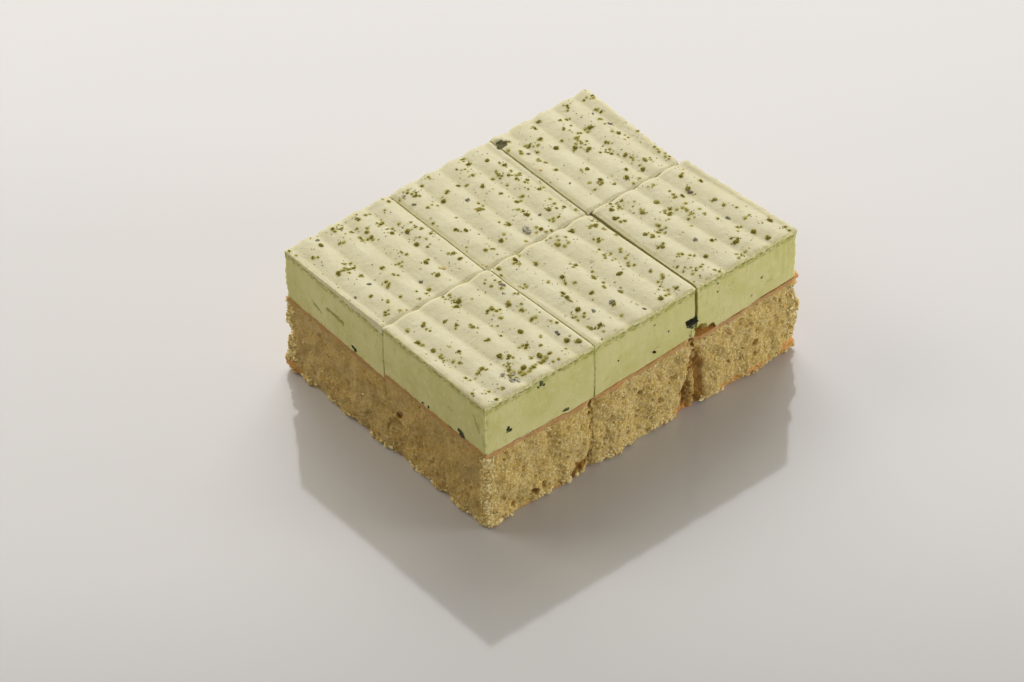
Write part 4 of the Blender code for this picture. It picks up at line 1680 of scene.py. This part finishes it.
large = Heap()
for square in squares:
    spots = large_spots[square.name]
    for number, (spot, place) in enumerate(zip(spots, on_cream(square, spots, GRAIN_LIFT))):
        draw = random.Random(f"{square.name} {number}")
        large.tint(add_nugget(large, draw, spot[2], place), draw.uniform(*GRAIN_TINTS))
large.pour()
edges = large.whole.edges
bmesh.ops.subdivide_edges(large.whole, edges=edges, cuts=1, use_grid_fill=True, smooth=SPLIT_ROUNDING)
for point in large.whole.verts:
    push = noise.noise_vector(point.co / (GRAIN_ROUGHNESS["size"] * MM))
    point.co += GRAIN_ROUGHNESS["amount"] * MM * push
large_mesh = large.mesh("matcha_grains")

small = Heap()
dust = Heap()
draw = random.Random(TINT_SEED)
for square in squares:
    for heap, spots, lift, palest in ((small, small_spots, 0.0, 1.0), (dust, dust_spots, 0.3, 1.6)):
        chosen = spots[square.name]
        for spot, place in zip(chosen, on_cream(square, chosen, lift)):
            points = add_nugget(heap, draw, spot[2], place, draw.uniform(*SMALL_GRAIN_FLATNESS))
            heap.tint(points, draw.uniform(0.0, palest))
small_mesh = small.mesh("matcha_small_grains")
dust_mesh = dust.mesh("matcha_dust")
print("The large grains have", len(large_mesh.polygons), "faces, the small ones", len(small_mesh.polygons))

# %% [markdown]
# Matcha powder is dull and dark where it lies thick. The tint of a grain says how much cream has dusted it.

# %% The matcha's material
MATCHA_COLOURS = (paint(100, 90, 26), paint(140, 130, 54))
MATCHA_DUSTED = paint(176, 166, 86)


def make_matcha_material():
    material, start, shader = new_material("matcha")
    rough = soft_pattern(object_place(start), 0.35, detail=2.0)
    colour = mix_colours(soft_step(rough, 0.35, 0.7), *MATCHA_COLOURS)
    dusted = soft_step(measured(start, "tint"), 0.2, 1.0)
    plug(mix_colours(dusted * 0.8, colour, MATCHA_DUSTED), shader, "Base Color")
    plug(bumped(rough, 0.1), shader, "Normal")
    set_values(shader, {"Roughness": 0.85, "Specular IOR Level": 0.25})
    return material


matcha_material = make_matcha_material()
for mesh in (large_mesh, small_mesh, dust_mesh):
    finish_piece(mesh.name, mesh, matcha_material)

# %% [markdown]
# ## Flakes of tea leaf
# Some darker flakes are whole scraps of leaf. On the cut sides they lie flat in the mousse, nearly black
# with a green cast. On the top they are half covered with cream and look grey. Each is a ball pressed flat
# rather than a sheet, so that its edge has a thickness to catch the light. Noise tears its outline, and it
# is turned to lie in the side that it sits on.

# %% Shape a flake and find its place
FLAKE_TEARS = {"size": 0.55, "amount": 0.9}
FLAKE_LENGTH = (1.1, 1.5)
FLAKE_WIDTH = (0.75, 1.0)
FLAKE_THICKNESS = 0.36
SIDE_WAYS = {"left": (-1.0, 0.0, 0.0), "right": (1.0, 0.0, 0.0),
             "front": (0.0, -1.0, 0.0), "back": (0.0, 1.0, 0.0)}


def add_flake(heap, draw, size, place, out):
    """Adds a thin uneven flake that faces along out."""
    part = heap.next_part()
    points = bmesh.ops.create_icosphere(part, subdivisions=3, radius=size * MM)["verts"]
    turn = Matrix.Rotation(draw.uniform(0.0, math.tau), 3, "Z")
    stretch = Vector((draw.uniform(*FLAKE_LENGTH), draw.uniform(*FLAKE_WIDTH), FLAKE_THICKNESS))
    facing = Vector(out).to_track_quat("Z", "Y").to_matrix()
    seed = Vector((draw.uniform(0, 50), draw.uniform(0, 50), 0.0))
    for point in points:
        ragged = 1.0 + FLAKE_TEARS["amount"] * noise.noise(point.co / (FLAKE_TEARS["size"] * MM) + seed)
        flat = Vector(a * b for a, b in zip(point.co * ragged, stretch))
        point.co = facing @ (turn @ flat)
    bmesh.ops.translate(part, verts=points, vec=place)
    heap.tint(points, draw.random())


def side_place(side, along, up, sunk):
    """A world place on a side of the mousse, sunk a little way in, and the way that the side faces."""
    upright = side in ("left", "right")
    x, y = (0.0, along) if upright else (along, 0.0 if side == "front" else ROW_EDGES["back"][1])
    across = ("front", "back") if upright else ("left", "right")
    shown = [square for square in squares if side in square.sides]
    square = max(shown, key=lambda one: min(one.room(x, y)[name] for name in across))
    if side == "right":
        x = square.right_at(y)
    out = mousse_relief(square, side, *(np.array([value]) for value in (x, y, up)))[0] - sunk
    way = Vector(SIDE_WAYS[side])
    return Vector(to_world(x + way.x * out, y + way.y * out, up)[0]), way


print("Flakes are stretched by", FLAKE_LENGTH, "along and", FLAKE_WIDTH, "across")

# %% [markdown]
# The largest flakes are placed one by one where they catch the eye: on the sides by how far along and up
# they are and by their size, on the top by X, Y and size. The rest follow a seeded rule. A small scrap of
# mousse beside the open cut is made in the same way.

# %% Place the flakes
SIDE_FLAKES = {
    "front": ((7.6, 33.6, 0.55), (7.9, 32.4, 0.7), (19.6, 42.0, 0.75), (20.6, 41.2, 0.5), (18.6, 41.4, 0.4),
              (28.3, 27.7, 0.75), (46.8, 34.7, 0.32), (60.0, 39.7, 0.34), (60.2, 29.8, 0.62),
              (65.0, 34.7, 0.24), (83.3, 41.4, 0.3), (83.2, 38.6, 0.26), (99.8, 34.7, 0.42),
              (96.2, 29.9, 0.28), (73.6, 33.1, 1.5), (74.1, 31.6, 0.9), (73.0, 32.2, 0.7)),
    "left": ((56.4, 28.6, 0.75), (55.9, 27.9, 0.45), (10.2, 28.8, 1.2), (24.2, 29.0, 0.45),
             (26.6, 28.8, 0.35), (46.5, 36.2, 0.24)),
}
TOP_FLAKES = ((56.0, 48.7, 1.1), (12.6, 3.6, 0.9), (14.2, 5.6, 0.8), (11.8, 6.6, 0.7), (78.2, 86.6, 0.6))
TOP_FLAKES_PER_SQUARE = 4
TOP_FLAKE_SIZES = (0.35, 0.75)
TOP_FLAKE_MARGIN = 1.5
REAR_FLAKES = {"count": 7, "from_start": 3.0, "from_end": 6.0, "heights": (29.5, 42.0), "sizes": (0.25, 0.8)}
FLAKE_SEED = 51
FLAKE_SUNK = 0.1
SCRAP = {"along": 74.0, "up": 28.6, "size": 1.0}
WHOLLY_MOUSSE = -5.0

draw = random.Random(FLAKE_SEED)
dark_flakes = Heap()
for side, flakes in SIDE_FLAKES.items():
    for along, up, size in flakes:
        place, out = side_place(side, along, up, FLAKE_SUNK * size)
        add_flake(dark_flakes, draw, size, place, out)
for side, length in (("right", ROW_EDGES["back"][1]), ("back", CAKE_LENGTH)):
    for _ in range(REAR_FLAKES["count"]):
        along = draw.uniform(REAR_FLAKES["from_start"], length - REAR_FLAKES["from_end"])
        place, out = side_place(side, along, draw.uniform(*REAR_FLAKES["heights"]), 0.0)
        add_flake(dark_flakes, draw, draw.uniform(*REAR_FLAKES["sizes"]), place, out)
pale_flakes = Heap()
top_flakes = {square.name: [] for square in squares}
for square in squares:
    for spot in TOP_FLAKES:
        if min(square.room(*spot[:2]).values()) > 0:
            top_flakes[square.name].append(spot)
    for _ in range(TOP_FLAKES_PER_SQUARE):
        y = draw.uniform(square.near + TOP_FLAKE_MARGIN, square.far - TOP_FLAKE_MARGIN)
        x = draw.uniform(square.left_at(y) + TOP_FLAKE_MARGIN, square.right_at(y) - TOP_FLAKE_MARGIN)
        top_flakes[square.name].append((x, y, draw.uniform(*TOP_FLAKE_SIZES)))
    for spot, place in zip(top_flakes[square.name], on_cream(square, top_flakes[square.name], 0.0)):
        add_flake(pale_flakes, draw, spot[2], place, (0.0, 0.0, 1.0))
scrap = Heap()
place, out = side_place("front", SCRAP["along"], SCRAP["up"], 0.0)
add_flake(scrap, draw, SCRAP["size"], place, out)
scrap_mesh = scrap.mesh("mousse_scrap")
store(scrap_mesh, "above_line", np.full(len(scrap_mesh.vertices), WHOLLY_MOUSSE))
dark_flake_mesh = dark_flakes.mesh("tea_flakes_in_mousse")
pale_flake_mesh = pale_flakes.mesh("tea_flakes_on_cream")
print("Flakes on top:", sum(len(spots) for spots in top_flakes.values()))

# %% [markdown]
# Both kinds of flake are veined, and differ only in their two colours. On the dark flakes in the mousse
# the lighter colour is partly painted glints. The scrap is mousse like the rest.

# %% The flakes' materials
DARK_LEAF_AND_GLINTS = (paint(26, 28, 14), paint(128, 132, 92))
PALE_LEAF = (paint(104, 100, 80), paint(190, 184, 160))


def make_flake_material(name, dark, light):
    material, start, shader = new_material(name)
    veins_and_glints = soft_pattern(object_place(start), 0.5, detail=2.0)
    # For the dark flakes the lighter colour is partly painted glints.
    share = soft_step(veins_and_glints + (measured(start, "tint") - 0.5) * 0.3, 0.45, 0.75)
    plug(mix_colours(share, dark, light), shader, "Base Color")
    plug(bumped(veins_and_glints, 0.08), shader, "Normal")
    set_values(shader, {"Roughness": 0.55, "Specular IOR Level": 0.2})
    return material


finish_piece("mousse_scrap", scrap_mesh, mousse_material)
finish_piece("tea_flakes_in_mousse", dark_flake_mesh,
             make_flake_material("dark_leaf", *DARK_LEAF_AND_GLINTS))
finish_piece("tea_flakes_on_cream", pale_flake_mesh,
             make_flake_material("pale_leaf", *PALE_LEAF))

# %% [markdown]
# ## Loose crumbs
# A cut sponge is never clean: small crumbs cling to its sides and edges and break up its outline. They are
# scattered over points of the sponge meshes themselves, which are known to lie on the surface, and most of
# all at the upright corners and the foot. The smoother left side gets few, and the skin none. A few orange
# crumbs of crust were carried onto the cream by the knife.

# %% Scatter the crumbs
CRUMB_SEED = 77
CRUMBS_PER_SPONGE = 1300
CRUMB_RADIUS = (0.1, 0.42)
CORNER_CRUMBS = 1.15
CRUMB_REACH_INWARDS = 0.6
CRUMB_CORNER = (0.3, 1.6 * CORNER_WIDTH)
CRUMB_FOOT = (1.0, 3.0)
CRUMB_FLATNESS = 0.9
CRUMB_LEAST_HEIGHT = 0.3
CRUMB_LEAST_LIFT = 1.1
CRUMB_CHANCES = {"plain": 0.4, "dry": -0.34, "edge": 9.0, "crust": -0.7}
BROWN_ENOUGH = 0.4
LOW_ENOUGH = 0.5
CREAM_CRUMB_SEED = 78
CREAM_CRUMB_FLATNESS = 0.6
CREAM_CRUMBS = ((28.3, 51.8, 0.75), (38.0, 44.6, 0.45), (103.0, 61.0, 0.5), (75.8, 66.0, 0.5),
                (106.4, 40.0, 0.4), (97.0, 2.2, 0.4), (110.6, 9.0, 0.45))


def clinging_crumbs(heap, draw):
    for square in squares:
        mesh = sponge_meshes[square.name]
        points = points_of(mesh)
        x, y, z = to_cake(mesh)
        room = square.room(x, y)
        shown = [room[side] for side in square.sides]
        outer = np.min(shown, axis=0) < CRUMB_REACH_INWARDS
        corner = np.zeros(len(x))
        if len(shown) > 1:
            corner = 1.0 - smooth_step(*CRUMB_CORNER, np.max(shown, axis=0))
        foot = 1.0 - smooth_step(*CRUMB_FOOT, z)
        crust = stored(mesh, "crust")
        bare = (stored(mesh, "skin") < BROWN_ENOUGH) & ((crust < BROWN_ENOUGH) | (foot > LOW_ENOUGH))
        fit = np.flatnonzero(outer & bare & (z > CRUMB_LEAST_HEIGHT))
        likely = CRUMB_CHANCES["plain"] + CRUMB_CHANCES["dry"] * stored(mesh, "dry")
        likely = likely + CRUMB_CHANCES["edge"] * (corner + foot)
        likely = likely * (1.0 + CRUMB_CHANCES["crust"] * crust)
        for number in draw.choices(fit.tolist(), likely[fit].tolist(), k=CRUMBS_PER_SPONGE):
            radius = CRUMB_RADIUS[0] + (CRUMB_RADIUS[1] - CRUMB_RADIUS[0]) * draw.random() ** 2
            radius *= 1.0 + CORNER_CRUMBS * max(corner[number], foot[number])
            place = Vector(points[number].tolist())
            place.z = max(place.z, CRUMB_LEAST_LIFT * radius * MM)
            made = add_nugget(heap, draw, radius, place, CRUMB_FLATNESS)
            heap.tint(made, draw.random())


crumbs = Heap()
clinging_crumbs(crumbs, random.Random(CRUMB_SEED))
crumb_mesh = crumbs.mesh("sponge_crumbs")

crust_crumbs = Heap()
draw = random.Random(CREAM_CRUMB_SEED)
for square in squares:
    spots = [spot for spot in CREAM_CRUMBS if min(square.room(*spot[:2]).values()) > 0]
    if spots:
        for spot, place in zip(spots, on_cream(square, spots, 0.0)):
            made = add_nugget(crust_crumbs, draw, spot[2], place, CREAM_CRUMB_FLATNESS, facets=2)
            crust_crumbs.tint(made, 0.5)
crust_crumb_mesh = crust_crumbs.mesh("crust_crumbs_on_cream")
print("The loose crumbs have", len(crumb_mesh.polygons), "faces")

# %% [markdown]
# A loose crumb is paler than the sponge behind it, because light falls on it from all sides.

# %% The crumbs' materials
CRUMB_COLOURS = (paint(212, 184, 116), paint(242, 226, 170))
CRUST_CRUMB_COLOURS = (paint(214, 180, 118), paint(236, 212, 156))


def make_crumb_material(name, dark, light):
    material, start, shader = new_material(name)
    grain = soft_pattern(object_place(start), 0.5, detail=2.0)
    share = soft_step(grain + (measured(start, "tint") - 0.5) * 0.5, 0.3, 0.75)
    plug(mix_colours(share, dark, light), shader, "Base Color")
    plug(bumped(grain, 0.12), shader, "Normal")
    set_values(shader, {"Roughness": 0.8, "Specular IOR Level": 0.3})
    return material


finish_piece("sponge_crumbs", crumb_mesh,
             make_crumb_material("clinging_crumb", *CRUMB_COLOURS))
finish_piece("crust_crumbs_on_cream", crust_crumb_mesh,
             make_crumb_material("crust_crumb", *CRUST_CRUMB_COLOURS))

# %% [markdown]
# ## Floor and light
# The cake stands on a plain pale floor with a gloss. One large softbox stands behind on the right, just
# where the camera's view is thrown by the floor. The floor therefore mirrors its even light all over,
# and the cake's own mirror image shows dark in it. It leaves the left side of the cake darkest. A low light
# from the right grazes the front and brings out its crumb, and one behind on the left lifts the left side
# and the shadow beside it. The floor doesn't mirror these two, and the room's light does the rest.

# %% Build the floor and the lights
FLOOR_SIZE = 6.0
FLOOR_DROP = 0.1 * MM
FLOOR_LIT_AND_SHADED = (paint(206, 203, 204), paint(159, 156, 155))
TO_CAMERA = (-0.64, -0.77, 0.0)
LIGHTS = {
    "softbox": {"place": (0.64, 0.78, 0.89), "size": 1.2, "power": 14.0, "mirrored": True,
                "colour": (1.0, 0.99, 0.985)},
    "low_fill": {"place": (1.1, -1.1, 0.2), "size": 0.6, "power": 15.2, "mirrored": False,
                 "colour": (1.0, 0.995, 1.0)},
    "back_left_fill": {"place": (-0.75, 1.0, 1.0), "size": 0.8, "power": 7.4, "mirrored": False,
                       "colour": (1.0, 0.95, 0.78)},
}
LIGHT_AIM = Vector((0.0, 0.0, 0.02))
ROOM_LIGHT = 0.33
ROOM_COLOUR = (1.0, 0.96, 0.87, 1.0)


def make_floor():
    slab = bmesh.new()
    bmesh.ops.create_grid(slab, x_segments=1, y_segments=1, size=FLOOR_SIZE / 2)
    bmesh.ops.translate(slab, verts=slab.verts, vec=Vector((0.0, 0.0, -FLOOR_DROP)))
    floor = add_to_scene("floor", mesh_of("floor", slab))
    material, start, shader = new_material("floor")
    place = object_place(start)
    values = {0: place, 1: TO_CAMERA}
    nearer = place.node("ShaderNodeVectorMath", {"operation": "DOT_PRODUCT"}, values, output="Value")
    clouds = soft_pattern(place, 260.0) * 0.2
    # Painted shade: the floor darkens towards the camera in front of the cake, where it mirrors a dimmer
    # room.
    plug(mix_colours(soft_step(nearer, 0.02, 0.24) + clouds, *FLOOR_LIT_AND_SHADED), shader, "Base Color")
    set_values(shader, {"Roughness": 0.08, "Specular IOR Level": 0.5})
    floor.data.materials.append(material)


def make_light(name, facts):
    lamp = bpy.data.lights.new(name, "AREA")
    lamp.size = facts["size"]
    lamp.energy = facts["power"]
    lamp.color = facts["colour"]
    shone = add_to_scene(name, lamp)
    shone.visible_glossy = facts["mirrored"]
    aim(shone, Vector(facts["place"]), LIGHT_AIM)


make_floor()
for name, facts in LIGHTS.items():
    make_light(name, facts)
room = bpy.data.worlds.new("room")
room.use_nodes = True
set_values(room.node_tree.nodes["Background"], {"Color": ROOM_COLOUR, "Strength": ROOM_LIGHT})
bpy.context.scene.world = room
bpy.context.scene.view_settings.view_transform = "Standard"
print("Lights:", ", ".join(LIGHTS), "and the room")
